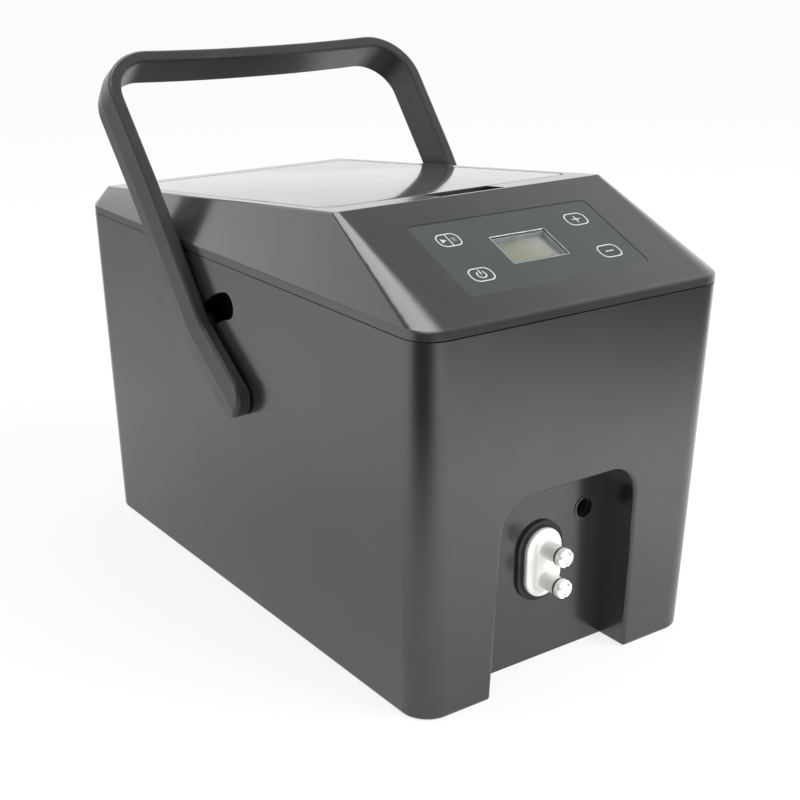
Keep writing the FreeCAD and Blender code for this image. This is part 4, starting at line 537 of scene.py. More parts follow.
@dataclass(frozen=True)
class Foam(Finish):
    """Cellular foam with open bubbles."""

    cell: float = 1.4 * MM

    def shade(self, sheet: Sheet, shelf: EffectShelf) -> bpy.types.Node:
        """Draw the foam's shader.

        Args:
            sheet: The material's sheet.
            shelf: The shared effects.

        Returns:
            The Principled node.
        """
        cells = sheet.add("ShaderNodeTexVoronoi", {"Vector": sheet.place(), "Scale": 1 / self.cell})
        walls = sheet.ramp(cells.outputs["Distance"], 0.1, 0.6)
        grain = shelf.place(sheet, Effect.GRAIN, Grain_Size=self.grain_size, Drift_Size=self.patch_size)
        colour = sheet.blend(sheet.product(walls, grain.outputs["Drift"]), self.colour, self.drift)
        bump = sheet.add("ShaderNodeBump", {"Height": walls, "Distance": self.relief})
        return sheet.add("ShaderNodeBsdfPrincipled", {
            "Base Color": colour, "Roughness": self.roughness, "Normal": bump.outputs["Normal"],
            "IOR": self.ior})


class Coat(Enum):
    """Every finish on the machine."""

    CASE = RolledCase("satin_charcoal_case", srgb(33, 33, 33), srgb(28, 28, 28), 0.22, 0.26, 0.5 * MM,
                      0.006 * MM, ior=1.75, coat=0.75, coat_roughness=0.15, worn=srgb(66, 66, 66), wear=0.3,
                      wear_reach=0.45 * MM, dust=0.05, patch_size=60 * MM)
    LID = Finish("polished_charcoal_lid", srgb(40, 40, 40), srgb(36, 36, 36), 0.12, 0.14, 0.5 * MM,
                 0.002 * MM, ior=1.75, coat=0.8, coat_roughness=0.06, worn=srgb(74, 74, 75), wear=0.3,
                 wear_reach=0.4 * MM, dust=0.05, patch_size=70 * MM)
    HANDLE = Finish("satin_charcoal_handle", srgb(48, 48, 48), srgb(43, 43, 43), 0.33, 0.4, 0.45 * MM,
                    0.012 * MM, ior=1.55, coat=0.3, coat_roughness=0.26, worn=srgb(84, 84, 84), wear=0.35,
                    wear_reach=0.5 * MM, dust=0.04, patch_size=30 * MM)
    RUBBER = Finish("matt_black_rubber", srgb(52, 53, 52), srgb(45, 46, 45), 0.5, 0.6, 0.3 * MM, 0.015 * MM,
                    patch_size=12 * MM)
    STEEL = Finish("zinc_bright_steel", srgb(196, 198, 202), srgb(176, 178, 182), 0.22, 0.36, 0.25 * MM,
                   0.008 * MM, metallic=1.0, patch_size=9 * MM)
    TANK = Finish("smooth_white_tank", srgb(222, 224, 226), srgb(212, 214, 216), 0.3, 0.4, 0.8 * MM,
                  0.01 * MM, patch_size=60 * MM)
    FOAM = Foam("black_cellular_foam", srgb(26, 26, 27), srgb(18, 18, 19), 0.9, 0.95, 1.2 * MM, 0.25 * MM,
                patch_size=25 * MM)
    FILM = Finish("satin_green_grey_film", srgb(54, 62, 59), srgb(50, 58, 55), 0.3, 0.36, 0.35 * MM,
                  0.004 * MM, ior=1.5, coat=0.25, coat_roughness=0.2, patch_size=40 * MM)
    KEY = Finish("dark_key_film", srgb(58, 60, 60), srgb(52, 54, 54), 0.34, 0.42, 0.3 * MM, 0.005 * MM,
                 patch_size=8 * MM)
    PRINT = Finish("silver_white_print", srgb(184, 188, 187), srgb(175, 179, 178), 0.45, 0.5, 0.2 * MM,
                   0.003 * MM, patch_size=6 * MM)
    FINE_PRINT = Finish("thin_silver_print", srgb(152, 158, 157), srgb(141, 147, 146), 0.45, 0.5, 0.2 * MM,
                        0.003 * MM, patch_size=6 * MM)
    # light ring round the display window: a painted highlight of the lens's edge
    WINDOW_EDGE = Finish("window_edge_painted_highlight", srgb(176, 190, 188), srgb(150, 164, 162), 0.2, 0.3,
                         0.3 * MM, 0.003 * MM, patch_size=10 * MM)
    WELL = Finish("blue_grey_window_well", srgb(118, 132, 130), srgb(104, 117, 116), 0.3, 0.4, 0.4 * MM,
                  0.006 * MM, patch_size=10 * MM)
    GLASS = WindowGlass("clear_window", (1.0, 1.0, 1.0, 1.0), (0.93, 0.95, 0.94, 1.0), 0.02, 0.06, ior=1.48,
                        patch_size=14 * MM)
    CELL = LiquidCrystal("olive_display_cell", srgb(108, 110, 86), srgb(98, 100, 84), 0.32, 0.4,
                         0.2 * MM, 0.004 * MM, patch_size=12 * MM)
    BOARD = Finish("green_laminate", srgb(38, 104, 62), srgb(30, 88, 52), 0.35, 0.45, 0.9 * MM, 0.02 * MM,
                   coat=0.4, coat_roughness=0.15, patch_size=9 * MM)
    SWITCH = Finish("black_switch_plastic", srgb(38, 38, 40), srgb(32, 32, 34), 0.4, 0.5, 0.4 * MM,
                    0.01 * MM, patch_size=6 * MM)
    COUPLING = Finish("warm_white_moulding", srgb(240, 241, 236), srgb(235, 236, 230), 0.28, 0.34,
                      0.5 * MM, 0.004 * MM, coat=0.3, coat_roughness=0.12, patch_size=14 * MM)
    POPPET = Finish("pale_grey_moulding", srgb(214, 217, 212), srgb(206, 209, 204), 0.4, 0.5, 0.4 * MM,
                    0.006 * MM, patch_size=5 * MM)
    BUSH = Finish("natural_bearing_plastic", srgb(222, 218, 206), srgb(208, 204, 192), 0.35, 0.45,
                  0.4 * MM, 0.008 * MM, patch_size=8 * MM)
    PUMP = Finish("black_pump_plastic", srgb(50, 50, 52), srgb(42, 42, 44), 0.45, 0.55, 0.7 * MM,
                  0.03 * MM, worn=srgb(92, 92, 92), wear=0.3, patch_size=15 * MM)
    MOTOR = Finish("grey_enamelled_can", srgb(116, 118, 120), srgb(104, 106, 108), 0.35, 0.45, 1.1 * MM,
                   0.02 * MM, coat=0.3, patch_size=12 * MM)
    HOSE = Finish("black_hose_rubber", srgb(44, 44, 45), srgb(36, 36, 37), 0.42, 0.52, 0.5 * MM,
                  0.02 * MM, patch_size=14 * MM)


class Paintbox:
    """Makes each finish once and hands it out."""

    def __init__(self) -> None:
        """Open with the shared effects and no material yet."""
        self.shelf = EffectShelf()
        self.made: dict[Coat, bpy.types.Material] = {}

    def get(self, coat: Coat) -> bpy.types.Material:
        """Hand out a finish, made at its first use.

        Args:
            coat: The finish.

        Returns:
            Its material.
        """
        if coat not in self.made:
            self.made[coat] = coat.value.build(self.shelf)
        return self.made[coat]

    def dress_nodes(self, coats: dict[Coat, Sequence[str]]) -> None:
        """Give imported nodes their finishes.

        Args:
            coats: Node names by finish.
        """
        for coat, names in coats.items():
            for name in names:
                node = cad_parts[name]
                if not node.material_slots:
                    node.data.materials.append(None)
                for material_slot in node.material_slots:
                    material_slot.material = self.get(coat)
                log.info("node %s: %s", name, coat.value.name)


# ---------------------------------------------------------------- meshes
@dataclass(frozen=True)
class FaceFrame:
    """A flat face of the case: a place on it, the way along it and the way out of it."""

    origin: tuple[float, float, float]
    along: tuple[float, float, float]
    out: tuple[float, float, float]

    def at(self, x: float, along: float, out: float) -> Vector:
        """Turn a place on the face into the machine's frame.

        Args:
            x: To the right, metres.
            along: Along the face, metres.
            out: Out of the face, metres.

        Returns:
            The point.
        """
        return Vector(self.origin) + Vector((x, 0, 0)) + Vector(self.along) * along + Vector(self.out) * out


SLOPE_ANGLE = math.atan2(47.3, 105.1)
TILT_ANGLE = math.atan2(35.0, 315.8)
ROOF_EDGE = (0.0, -0.110, 0.2953)
SLOPE = FaceFrame(ROOF_EDGE, (0, -math.cos(SLOPE_ANGLE), -math.sin(SLOPE_ANGLE)),
                  (0, -math.sin(SLOPE_ANGLE), math.cos(SLOPE_ANGLE)))
TOP = FaceFrame(ROOF_EDGE, (0, math.cos(TILT_ANGLE), -math.sin(TILT_ANGLE)),
                (0, math.sin(TILT_ANGLE), math.cos(TILT_ANGLE)))
BAY_WALL = FaceFrame((0.0, -0.1847, 0.0), (0, 0, 1), (0, -1, 0))
GROUND = FaceFrame((0.0, 0.0, 0.0), (0, 1, 0), (0, 0, 1))


def pill(half_w: float, half_h: float, radius: float, steps: int = 12) -> Outline:
    """Rounded rectangle round the origin.

    Args:
        half_w: Half its width.
        half_h: Half its height.
        radius: Corner radius.
        steps: Points on each corner's arc, less one.

    Returns:
        Its points, anticlockwise.
    """
    radius = min(radius, half_w - 1e-6, half_h - 1e-6)
    points = []
    for corner, (sx, sy) in enumerate(((1, 1), (-1, 1), (-1, -1), (1, -1))):
        for step in range(steps + 1):
            angle = math.pi / 2 * (corner + step / steps)
            points.append((sx * (half_w - radius) + radius * math.cos(angle),
                           sy * (half_h - radius) + radius * math.sin(angle)))
    return points


def capsule(start: tuple[float, float], end: tuple[float, float], width: float, steps: int = 6) -> Outline:
    """Straight stroke with round ends.

    Args:
        start: One end's middle.
        end: The other end's middle.
        width: The stroke's width.
        steps: Points on each round end, less one.

    Returns:
        Its outline.
    """
    heading = math.atan2(end[1] - start[1], end[0] - start[0])
    points = []
    for middle, turn in ((end, -math.pi / 2), (start, math.pi / 2)):
        for step in range(steps + 1):
            angle = heading + turn + math.pi * step / steps
            points.append((middle[0] + width / 2 * math.cos(angle), middle[1] + width / 2 * math.sin(angle)))
    return points


def open_arc(radius: float, width: float, start: float, stop: float, steps: int = 28) -> Outline:
    """Curved stroke round the origin.

    Args:
        radius: To the stroke's middle.
        width: The stroke's width.
        start: First angle, degrees.
        stop: Last angle, degrees.
        steps: Points on each side, less one.

    Returns:
        Its outline.
    """
    angles = [math.radians(start + (stop - start) * step / steps) for step in range(steps + 1)]
    outer = [((radius + width / 2) * math.cos(a), (radius + width / 2) * math.sin(a)) for a in angles]
    inner = [((radius - width / 2) * math.cos(a), (radius - width / 2) * math.sin(a)) for a in angles]
    return outer + inner[::-1]


@dataclass
class Mesh:
    """Points and faces of one piece."""

    points: list[Vector] = field(default_factory=list)
    faces: list[tuple[int, ...]] = field(default_factory=list)

    def loft(self, rings: Sequence[Ring], cap_first: bool = True, cap_last: bool = True,
             around: bool = False) -> None:
        """Skin a row of closed rings that have equally many points.

        Args:
            rings: The rings in order.
            cap_first: Whether the first ring is filled.
            cap_last: Whether the last ring is filled.
            around: Whether the last ring joins the first one instead.
        """
        base, count = len(self.points), len(rings[0])
        for ring in rings:
            self.points.extend(ring)
        last = len(rings) if around else len(rings) - 1
        for row in range(last):
            here, there = base + row * count, base + (row + 1) % len(rings) * count
            for i in range(count):
                j = (i + 1) % count
                self.faces.append((here + i, here + j, there + j, there + i))
        if around:
            return
        if cap_first:
            self.faces.append(tuple(base + i for i in range(count)))
        if cap_last:
            start = base + (len(rings) - 1) * count
            self.faces.append(tuple(start + i for i in range(count)))

    def plate(self, face: FaceFrame, middle: tuple[float, float], outline: Outline, low: float,
              high: float) -> None:
        """Add a flat plate.

        Args:
            face: The face that it lies on.
            middle: Where the outline's origin is, to the right and along the face.
            outline: Its outline.
            low: Height of its underside out of the face.
            high: Height of its top.
        """
        rings = [[face.at(middle[0] + u, middle[1] + v, h) for u, v in outline] for h in (low, high)]
        self.loft(rings)

    def turn(self, face: FaceFrame, middle: tuple[float, float], profile: Sequence[tuple[float, float]],
             steps: int = 96, radius_at: Callable[[float, float, float], float] | None = None) -> None:
        """Add a turned piece whose closed profile runs round its axis.

        Args:
            face: The face that the axis stands on.
            middle: Where the axis is.
            profile: (radius, height) pairs of the closed section.
            steps: Points round the axis.
            radius_at: Changes a radius by (radius, height, angle), for notches.
        """
        rings = []
        for radius, height in profile:
            ring = []
            for step in range(steps):
                angle = 2 * math.pi * step / steps
                reach = radius_at(radius, height, angle) if radius_at else radius
                ring.append(face.at(middle[0] + reach * math.cos(angle),
                                    middle[1] + reach * math.sin(angle), height))
            rings.append(ring)
        self.loft(rings, around=True)

    def build(self, name: str, sharp: float = 32.0) -> bpy.types.Object:
        """Make the Blender object.

        Args:
            name: The piece's name.
            sharp: Angle in degrees over which an edge stays sharp.

        Returns:
            The object.
        """
        data = bpy.data.meshes.new(name)
        data.from_pydata([tuple(p) for p in self.points], [], self.faces)
        working = bmesh.new()
        working.from_mesh(data)
        bmesh.ops.recalc_face_normals(working, faces=working.faces)
        working.to_mesh(data)
        working.free()
        for polygon in data.polygons:
            polygon.use_smooth = True
        data.set_sharp_from_angle(angle=math.radians(sharp))
        made = bpy.data.objects.new(name, data)
        bpy.context.scene.collection.objects.link(made)
        return made


class SubAssembly:
    """Something on the machine that is built and dressed as a whole."""

    def __init__(self, paints: Paintbox) -> None:
        """Keep the paints."""
        self.paints = paints

    def finish_piece(self, piece: bpy.types.Object, coat: Coat, body: str, slot: str,
                     replaces: Sequence[str] = ()) -> bpy.types.Object:
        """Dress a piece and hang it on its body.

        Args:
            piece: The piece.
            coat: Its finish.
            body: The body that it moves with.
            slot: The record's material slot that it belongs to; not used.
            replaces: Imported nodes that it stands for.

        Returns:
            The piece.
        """
        piece.data.materials.append(self.paints.get(coat))
        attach(piece, body)
        if replaces:
            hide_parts(*replaces)
        log.info("piece %s: %s, on %s, %d faces", piece.name, coat.value.name, body, len(piece.data.polygons))
        return piece


# ---------------------------------------------------------------- key panel
class Legend(Enum):
    """What is printed on a key."""

    PLAY = "play"
    POWER = "power"
    PLUS = "plus"
    MINUS = "minus"


@dataclass
class KeyPanel(SubAssembly):
    """The four keys' print and the display in its window."""

    paints: Paintbox
    middle_x: float = 0.8 * MM
    key_x: float = 50.7 * MM
    upper: float = 40.7 * MM
    lower: float = 75.2 * MM
    key_half: tuple[float, float] = (8.55 * MM, 6.3 * MM)
    key_corner: float = 5.3 * MM
    ring_width: float = 1.0 * MM
    surface: float = -0.3 * MM
    print_height: float = 0.04 * MM
    stroke: float = 0.95 * MM
    sign_reach: float = 2.9 * MM        # half the length of the plus and minus signs
    window_half: tuple[float, float] = (22.1 * MM, 13.65 * MM)
    window_along: float = 57.65 * MM
    window_corner: float = 0.85 * MM
    frame_width: float = 0.42 * MM
    lens_depth: float = 1.4 * MM
    ledge: float = 1.7 * MM
    wall: float = 3.2 * MM
    cell_depth: float = 5.6 * MM
    tray_margin: float = 6.0 * MM
    tray_bottom: float = 8.8 * MM
    sleeve: float = 0.25 * MM

    def spots(self) -> dict[Legend, tuple[str, float, float]]:
        """Place the keys.

        Returns:
            Body, place to the right and place down the slope of each key.
        """
        left, right = self.middle_x - self.key_x, self.middle_x + self.key_x
        return {Legend.PLAY: ("key_play", left, self.upper), Legend.POWER: ("key_power", left, self.lower),
                Legend.PLUS: ("key_plus", right, self.upper), Legend.MINUS: ("key_minus", right, self.lower)}

    def marks(self, legend: Legend) -> tuple[list[Outline], list[Outline]]:
        """Outlines of a key's print round the key's middle, with v up the slope.

        Args:
            legend: Which key.

        Returns:
            The bold marks and the fine marks.
        """
        line = self.stroke
        bar = capsule((-self.sign_reach, 0), (self.sign_reach, 0), line)
        if legend is Legend.PLAY:
            triangle = [(-5.6 * MM, 2.1 * MM), (-5.6 * MM, -2.1 * MM), (-1.7 * MM, 0.0)]
            divider = capsule((0.25 * MM, 5.6 * MM), (0.25 * MM, -5.6 * MM), 0.8 * MM)
            fine = [capsule((x * MM, 1.7 * MM), (x * MM, -1.7 * MM), 0.5 * MM) for x in (2.6, 3.7, 4.8)]
            return [triangle, divider], fine
        if legend is Legend.POWER:
            arc = open_arc(3.0 * MM, line, 128, 412)
            return [arc, capsule((0, 4.1 * MM), (0, 0.3 * MM), line)], []
        if legend is Legend.PLUS:
            return [bar, capsule((0, self.sign_reach), (0, -self.sign_reach), line)], []
        return [bar], []

    def print_key(self, legend: Legend) -> None:
        """Build the ring and the marks on one key.

        Args:
            legend: Which key.
        """
        body, x, along = self.spots()[legend]
        low, high = self.surface - self.print_height, self.surface + self.print_height
        outer, inner = (pill(self.key_half[0] - inset, self.key_half[1] - inset, self.key_corner - inset, 16)
                        for inset in (0.0, self.ring_width))
        ring = Mesh()
        ring.loft([[SLOPE.at(x + u, along + v, h) for u, v in outline]
                   for outline, h in ((outer, low), (outer, high), (inner, high), (inner, low))], around=True)
        self.finish_piece(ring.build(body + "_ring"), Coat.PRINT, body, "key_plastic")
        bold, fine = self.marks(legend)
        for suffix, outlines, coat in (("_mark", bold, Coat.PRINT), ("_fine_mark", fine, Coat.FINE_PRINT)):
            if not outlines:
                continue
            mark = Mesh()
            for count, outline in enumerate(outlines):
                lift = high + count * self.print_height / 4
                mark.plate(SLOPE, (x, along), [(u, -v) for u, v in outline], low, lift)
            self.finish_piece(mark.build(body + suffix), coat, body, "key_plastic")

    def window_ring(self, inset: float, height: float) -> Ring:
        """Outline the display window.

        Args:
            inset: How far it is set in.
            height: Height out of the slope.

        Returns:
            The ring.
        """
        half_w, half_h = self.window_half
        outline = pill(half_w - inset, half_h - inset, max(self.window_corner - inset, 0.3 * MM), 6)
        return [SLOPE.at(u, self.window_along + v, height) for u, v in outline]

    def build_display(self) -> None:
        """Build the window's edge in a painted highlight colour, the well under it, the tray and the cell."""
        top, under = self.surface, self.surface - self.lens_depth
        # the window's edge ring is a painted highlight where the lens's edge catches light
        edge = Mesh()
        edge.loft([self.window_ring(0, top - 0.1 * MM), self.window_ring(0, top + 0.02 * MM),
                   self.window_ring(self.frame_width, top + 0.02 * MM),
                   self.window_ring(self.frame_width, top - 0.1 * MM)], around=True)
        self.finish_piece(edge.build("display_window_edge"), Coat.WINDOW_EDGE, "base", "display_glass")
        floor = -self.cell_depth
        inner, outer = self.ledge + self.sleeve, self.ledge
        sleeve = Mesh()
        rim = under - 0.05 * MM
        sleeve.loft([self.window_ring(inset, height) for inset, height in (
            (outer, rim), (outer, -self.wall), (inner, -self.wall), (inner, rim))], around=True)
        self.finish_piece(sleeve.build("display_window_sleeve"), Coat.WELL, "base", "display_cell")
        tray = Mesh()
        margin = -self.tray_margin
        tray.loft([self.window_ring(inset, height) for inset, height in (
            (inner, -self.tray_bottom + 1 * MM), (margin + 1 * MM, -self.tray_bottom),
            (margin, -self.tray_bottom + 0.4 * MM), (margin, -self.wall - 0.3 * MM),
            (margin + 0.3 * MM, -self.wall), (inner, -self.wall), (inner, floor),
            (inner + 1.2 * MM, floor))], cap_first=True, cap_last=False)
        self.finish_piece(tray.build("display_tray"), Coat.WELL, "base", "display_cell", ["display_module"])
        cell = Mesh()
        cell.loft([self.window_ring(inner + inset, floor + height) for inset, height in (
            (0.1 * MM, -0.8 * MM), (0.1 * MM, 0.0), (0.5 * MM, 0.15 * MM))])
        self.finish_piece(cell.build("display_cell_face"), Coat.CELL, "base", "display_cell")

    def build(self) -> None:
        """Build every printed key and the display."""
        for legend in Legend:
            self.print_key(legend)
        self.build_display()


# ---------------------------------------------------------------- hose coupling
@dataclass
class HoseCoupling(SubAssembly):
    """White twin coupling: pillowed plate, two nozzles with notched tips, and its gasket."""

    paints: Paintbox
    middle: tuple[float, float] = (-2.8 * MM, 71.0 * MM)
    pitch: float = 21.4 * MM
    plate_half: tuple[float, float] = (14.6 * MM, 23.5 * MM)
    plate_proud: float = 6.1 * MM
    plate_round: float = 1.1 * MM
    crown: float = 0.8 * MM
    flare_reach: float = 10.0 * MM
    flare_top: float = 7.6 * MM
    flare_height: float = 1.8 * MM
    nozzle_r: float = 5.9 * MM
    tip_r: float = 6.2 * MM
    tip_out: float = 26.3 * MM          # tip from the bay's wall
    tip_length: float = 4.3 * MM
    tip_round: float = 0.9 * MM
    groove: float = 1.7 * MM
    groove_r: float = 4.85 * MM
    notch_r: float = 1.3 * MM
    notch_length: float = 2.6 * MM
    notches: tuple[float, ...] = (40.0, -85.0, 160.0)
    bore_r: float = 4.4 * MM
    bore_depth: float = 14.0 * MM
    way_r: float = 2.6 * MM
    spigot_half: tuple[float, float] = (12.0 * MM, 20.5 * MM)
    spigot_back: float = -9.0 * MM
    tail_length: float = 14.0 * MM
    tail_r: float = 4.0 * MM
    barb: float = 0.5 * MM
    gasket_half: tuple[float, float] = (18.6 * MM, 27.5 * MM)
    gasket_height: float = 1.6 * MM
    gasket_bead: float = 0.5 * MM
    gasket_collar: float = 3.7 * MM     # height of the collar that hugs the plate

    def nozzle_places(self) -> dict[str, float]:
        """Height of each nozzle's axis."""
        return {"upper": self.middle[1] + self.pitch / 2, "lower": self.middle[1] - self.pitch / 2}

    def inset_ring(self, half: tuple[float, float], inset: float, height: float,
                   steps: int = 24) -> Ring:
        """Slot-shaped outline set in by a distance, at a height out of the wall.

        Args:
            half: Half sizes before it is set in.
            inset: How far it is set in.
            height: Height out of the bay's wall.
            steps: Points on each quarter's arc, less one.

        Returns:
            The ring.
        """
        half_w, half_h = half[0] - inset, half[1] - inset
        return [BAY_WALL.at(self.middle[0] + u, self.middle[1] + v, height)
                for u, v in pill(half_w, half_h, half_w, steps)]

    def flared(self, point: Vector) -> Vector:
        """Lift a point of the plate where a nozzle's root flares out of it.

        Args:
            point: The point on the plain plate.

        Returns:
            The lifted point.
        """
        lift = 0.0
        for z in self.nozzle_places().values():
            reach = math.hypot(point.x - self.middle[0], point.z - z)
            share = min(max((self.flare_reach - reach) / (self.flare_reach - self.flare_top), 0.0), 1.0)
            lift = max(lift, self.flare_height * share * share * (3 - 2 * share))
        return point + Vector(BAY_WALL.out) * lift

    def build_plate(self) -> None:
        """Build the plate with its rounded rim, soft crown and flared nozzle roots."""
        shoulder = self.plate_proud - self.plate_round
        rings = [self.inset_ring(self.spigot_half, 0, self.spigot_back),
                 self.inset_ring(self.spigot_half, 0, 0.0),
                 self.inset_ring(self.plate_half, 0.3 * MM, 0.0),
                 self.inset_ring(self.plate_half, 0.0, 0.3 * MM),
                 self.inset_ring(self.plate_half, 0.1 * MM, shoulder)]
        for step in range(1, 9):
            angle = math.pi / 2 * step / 8
            rings.append(self.inset_ring(self.plate_half, 0.1 * MM + self.plate_round * (1 - math.cos(angle)),
                                         shoulder + self.plate_round * math.sin(angle)))
        start = 0.1 * MM + self.plate_round
        rows = 26
        for step in range(1, rows + 1):
            inset = start + (self.plate_half[0] - 0.05 * MM - start) * step / rows
            share = step / rows
            height = self.plate_proud + self.crown * share * share * (3 - 2 * share)
            rings.append([self.flared(p) for p in self.inset_ring(self.plate_half, inset, height)])
        plate = Mesh()
        plate.loft(rings)
        piece = plate.build("coupling_plate", 50)
        self.finish_piece(piece, Coat.COUPLING, "base", "coupling_plastic", ["coupling_body"])

    def notched(self, radius: float, height: float, angle: float) -> float:
        """Radius of a nozzle's tip with its notches cut in.

        Args:
            radius: Radius without notches.
            height: Height out of the wall.
            angle: Angle round the axis, radians.

        Returns:
            The radius there.
        """
        if height < self.tip_out - self.notch_length or radius <= self.bore_r + 0.1 * MM:
            return radius
        for notch in self.notches:
            off = (angle - math.radians(notch) + math.pi) % (2 * math.pi) - math.pi
            side = self.tip_r * math.sin(off)
            if abs(off) < 1 and abs(side) < self.notch_r:
                cut = self.tip_r * math.cos(off) - math.sqrt(self.notch_r ** 2 - side ** 2)
                radius = min(radius, max(cut, self.bore_r + 0.1 * MM))
        return radius

    def nozzle_profile(self) -> list[tuple[float, float]]:
        """Draw a nozzle's closed section, from its tip to the hose tail behind the wall.

        Returns:
            (radius, height) pairs.
        """
        tip, neck = self.tip_out, self.tip_out - self.tip_length
        profile = [(self.bore_r, tip - 0.3 * MM), (self.bore_r + 0.3 * MM, tip)]
        for step in range(7):
            angle = math.pi / 2 * step / 6
            profile.append((self.tip_r - self.tip_round * (1 - math.sin(angle)),
                            tip - self.tip_round * (1 - math.cos(angle))))
        shelf = tip - self.notch_length
        groove_end = neck - self.groove
        profile += [(self.tip_r, shelf + 0.01 * MM), (self.tip_r, shelf - 0.01 * MM),
                    (self.tip_r, neck + 0.15 * MM), (self.tip_r - 0.15 * MM, neck),
                    (self.groove_r, neck), (self.groove_r, groove_end),
                    (self.nozzle_r - 0.15 * MM, groove_end), (self.nozzle_r, groove_end - 0.15 * MM),
                    (self.nozzle_r + 0.1 * MM, self.plate_proud + 4.5 * MM)]
        root = self.plate_proud + self.flare_height + 0.3 * MM
        for step in range(1, 6):
            share = step / 5
            profile.append((self.nozzle_r + 0.1 * MM + 1.3 * MM * share ** 3,
                            root + 2.2 * MM * (1 - share) ** 1.5))
        profile.append((self.nozzle_r + 1.4 * MM, self.plate_proud - 1 * MM))
        profile.append((self.tail_r, self.spigot_back))
        step_length = self.tail_length / 4
        for ridge in range(1, 4):
            foot = self.spigot_back - step_length * ridge
            profile += [(self.tail_r, foot), (self.tail_r + self.barb, foot - 0.05 * MM),
                        (self.tail_r, foot - step_length * 0.6)]
        back = self.spigot_back - self.tail_length
        profile += [(self.tail_r, back), (self.way_r, back), (self.way_r, tip - self.bore_depth),
                    (self.bore_r, tip - self.bore_depth)]
        return profile

    def build_nozzles(self) -> None:
        """Build both nozzles with their tails."""
        for which, z in self.nozzle_places().items():
            nozzle = Mesh()
            nozzle.turn(BAY_WALL, (self.middle[0], z), self.nozzle_profile(), 144, self.notched)
            piece = nozzle.build("coupling_nozzle_" + which)
            self.finish_piece(piece, Coat.COUPLING, "base", "coupling_plastic", ["coupling_body"])

    def build_gasket(self) -> None:
        """Build the black ring round the plate, with a bead at its rim."""
        face, collar = self.gasket_height, self.gasket_collar
        bead = face + self.gasket_bead
        inner = self.gasket_half[0] - self.plate_half[0] - 0.1 * MM
        section = [(0.0, 0.0), (0.0, bead - 0.3 * MM), (0.09 * MM, bead - 0.09 * MM), (0.3 * MM, bead),
                   (0.6 * MM, bead), (0.85 * MM, bead - 0.12 * MM), (1.1 * MM, face),
                   (inner - 1.5 * MM, face + 0.3 * MM), (inner - 0.5 * MM, collar),
                   (inner - 0.1 * MM, collar), (inner, collar - 0.1 * MM), (inner, 0.0)]
        gasket = Mesh()
        gasket.loft([self.inset_ring(self.gasket_half, inset, height) for inset, height in section],
                    around=True)
        self.finish_piece(gasket.build("coupling_gasket_ring"), Coat.RUBBER, "base", "foot_rubber",
                          ["coupling_gasket"])

    def build(self) -> None:
        """Build the whole coupling."""
        self.build_plate()
        self.build_nozzles()
        self.build_gasket()


# ---------------------------------------------------------------- lid
@dataclass
class LiftOffLid(SubAssembly):
    """Flush lid plate with a softened edge."""

    paints: Paintbox
    half_w: float = 98.0 * MM
    front: float = 22.0 * MM
    rear: float = 299.0 * MM
    corner: float = 12.0 * MM
    thick: float = 3.2 * MM
    edge: float = 0.7 * MM

    def build(self) -> None:
        """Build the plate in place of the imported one."""
        half_l = (self.rear - self.front) / 2
        middle = self.front + half_l

        def ring(inset: float, height: float) -> Ring:
            """Outline of the plate, set in, at a height."""
            outline = pill(self.half_w - inset, half_l - inset, self.corner - inset, 14)
            return [TOP.at(u, middle + v, height) for u, v in outline]
        rings = [ring(0.4 * MM, -self.thick), ring(0, -self.thick + 0.4 * MM)]
        for step in range(7):
            angle = math.pi / 2 * step / 6
            rings.append(ring(self.edge * (1 - math.cos(angle)), -self.edge * (1 - math.sin(angle))))
        plate = Mesh()
        plate.loft(rings)
        self.finish_piece(plate.build("lid_plate"), Coat.LID, "lid", "lid_plastic", ["lid_cover"])


# ---------------------------------------------------------------- feet
@dataclass
class FootPads(SubAssembly):
    """Four ribbed rubber pads under the tub."""

    paints: Paintbox
    place: tuple[float, float] = (88.0 * MM, 178.0 * MM)
    radius: float = 9.0 * MM
    top: float = 1.8 * MM
    ribs: int = 3
    pinhole: float = 0.1 * MM           # where the turned section starts at the axis

    def build(self) -> None:
        """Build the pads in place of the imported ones."""
        pads = Mesh()
        rim = self.radius
        profile = [(self.pinhole, self.top), (rim - 0.1 * MM, self.top), (rim, self.top - 0.2 * MM),
                   (rim, 0.5 * MM), (rim - 0.25 * MM, 0.12 * MM), (rim - 0.6 * MM, 0.0)]
        pitch = (rim - 2.0 * MM) / self.ribs
        for rib in range(self.ribs):
            outer = rim - 1.0 * MM - rib * pitch
            profile += [(outer, 0.0), (outer - 0.15 * MM, 0.35 * MM), (outer - 0.75 * MM, 0.35 * MM),
                        (outer - 0.9 * MM, 0.0)]
        profile.append((self.pinhole, 0.0))
        for sx in (-1, 1):
            for sy in (-1, 1):
                pads.turn(GROUND, (sx * self.place[0], sy * self.place[1]), profile, 48)
        self.finish_piece(pads.build("foot_pads"), Coat.RUBBER, "base", "foot_rubber", ["rubber_feet"])


# ---------------------------------------------------------------- studio
@dataclass
class Lamp:
    """A soft lamp: where it stands, what it looks at, its size and its brightness."""

    name: str
    place: tuple[float, float, float]
    target: tuple[float, float, float]
    size: tuple[float, float]
    radiance: float
    mirrored: bool = True           # whether shiny surfaces show it

    def build(self) -> None:
        """Hang the lamp."""
        light = bpy.data.lights.new(self.name, "AREA")
        light.shape = "RECTANGLE"
        light.size, light.size_y = self.size
        light.energy = self.radiance * math.pi * self.size[0] * self.size[1]
        lamp = bpy.data.objects.new(self.name, light)
        lamp.location = self.place
        heading = Vector(self.target) - Vector(self.place)
        lamp.rotation_euler = heading.to_track_quat("-Z", "Y").to_euler()
        lamp.visible_camera = False
        lamp.visible_glossy = self.mirrored
        bpy.context.scene.collection.objects.link(lamp)


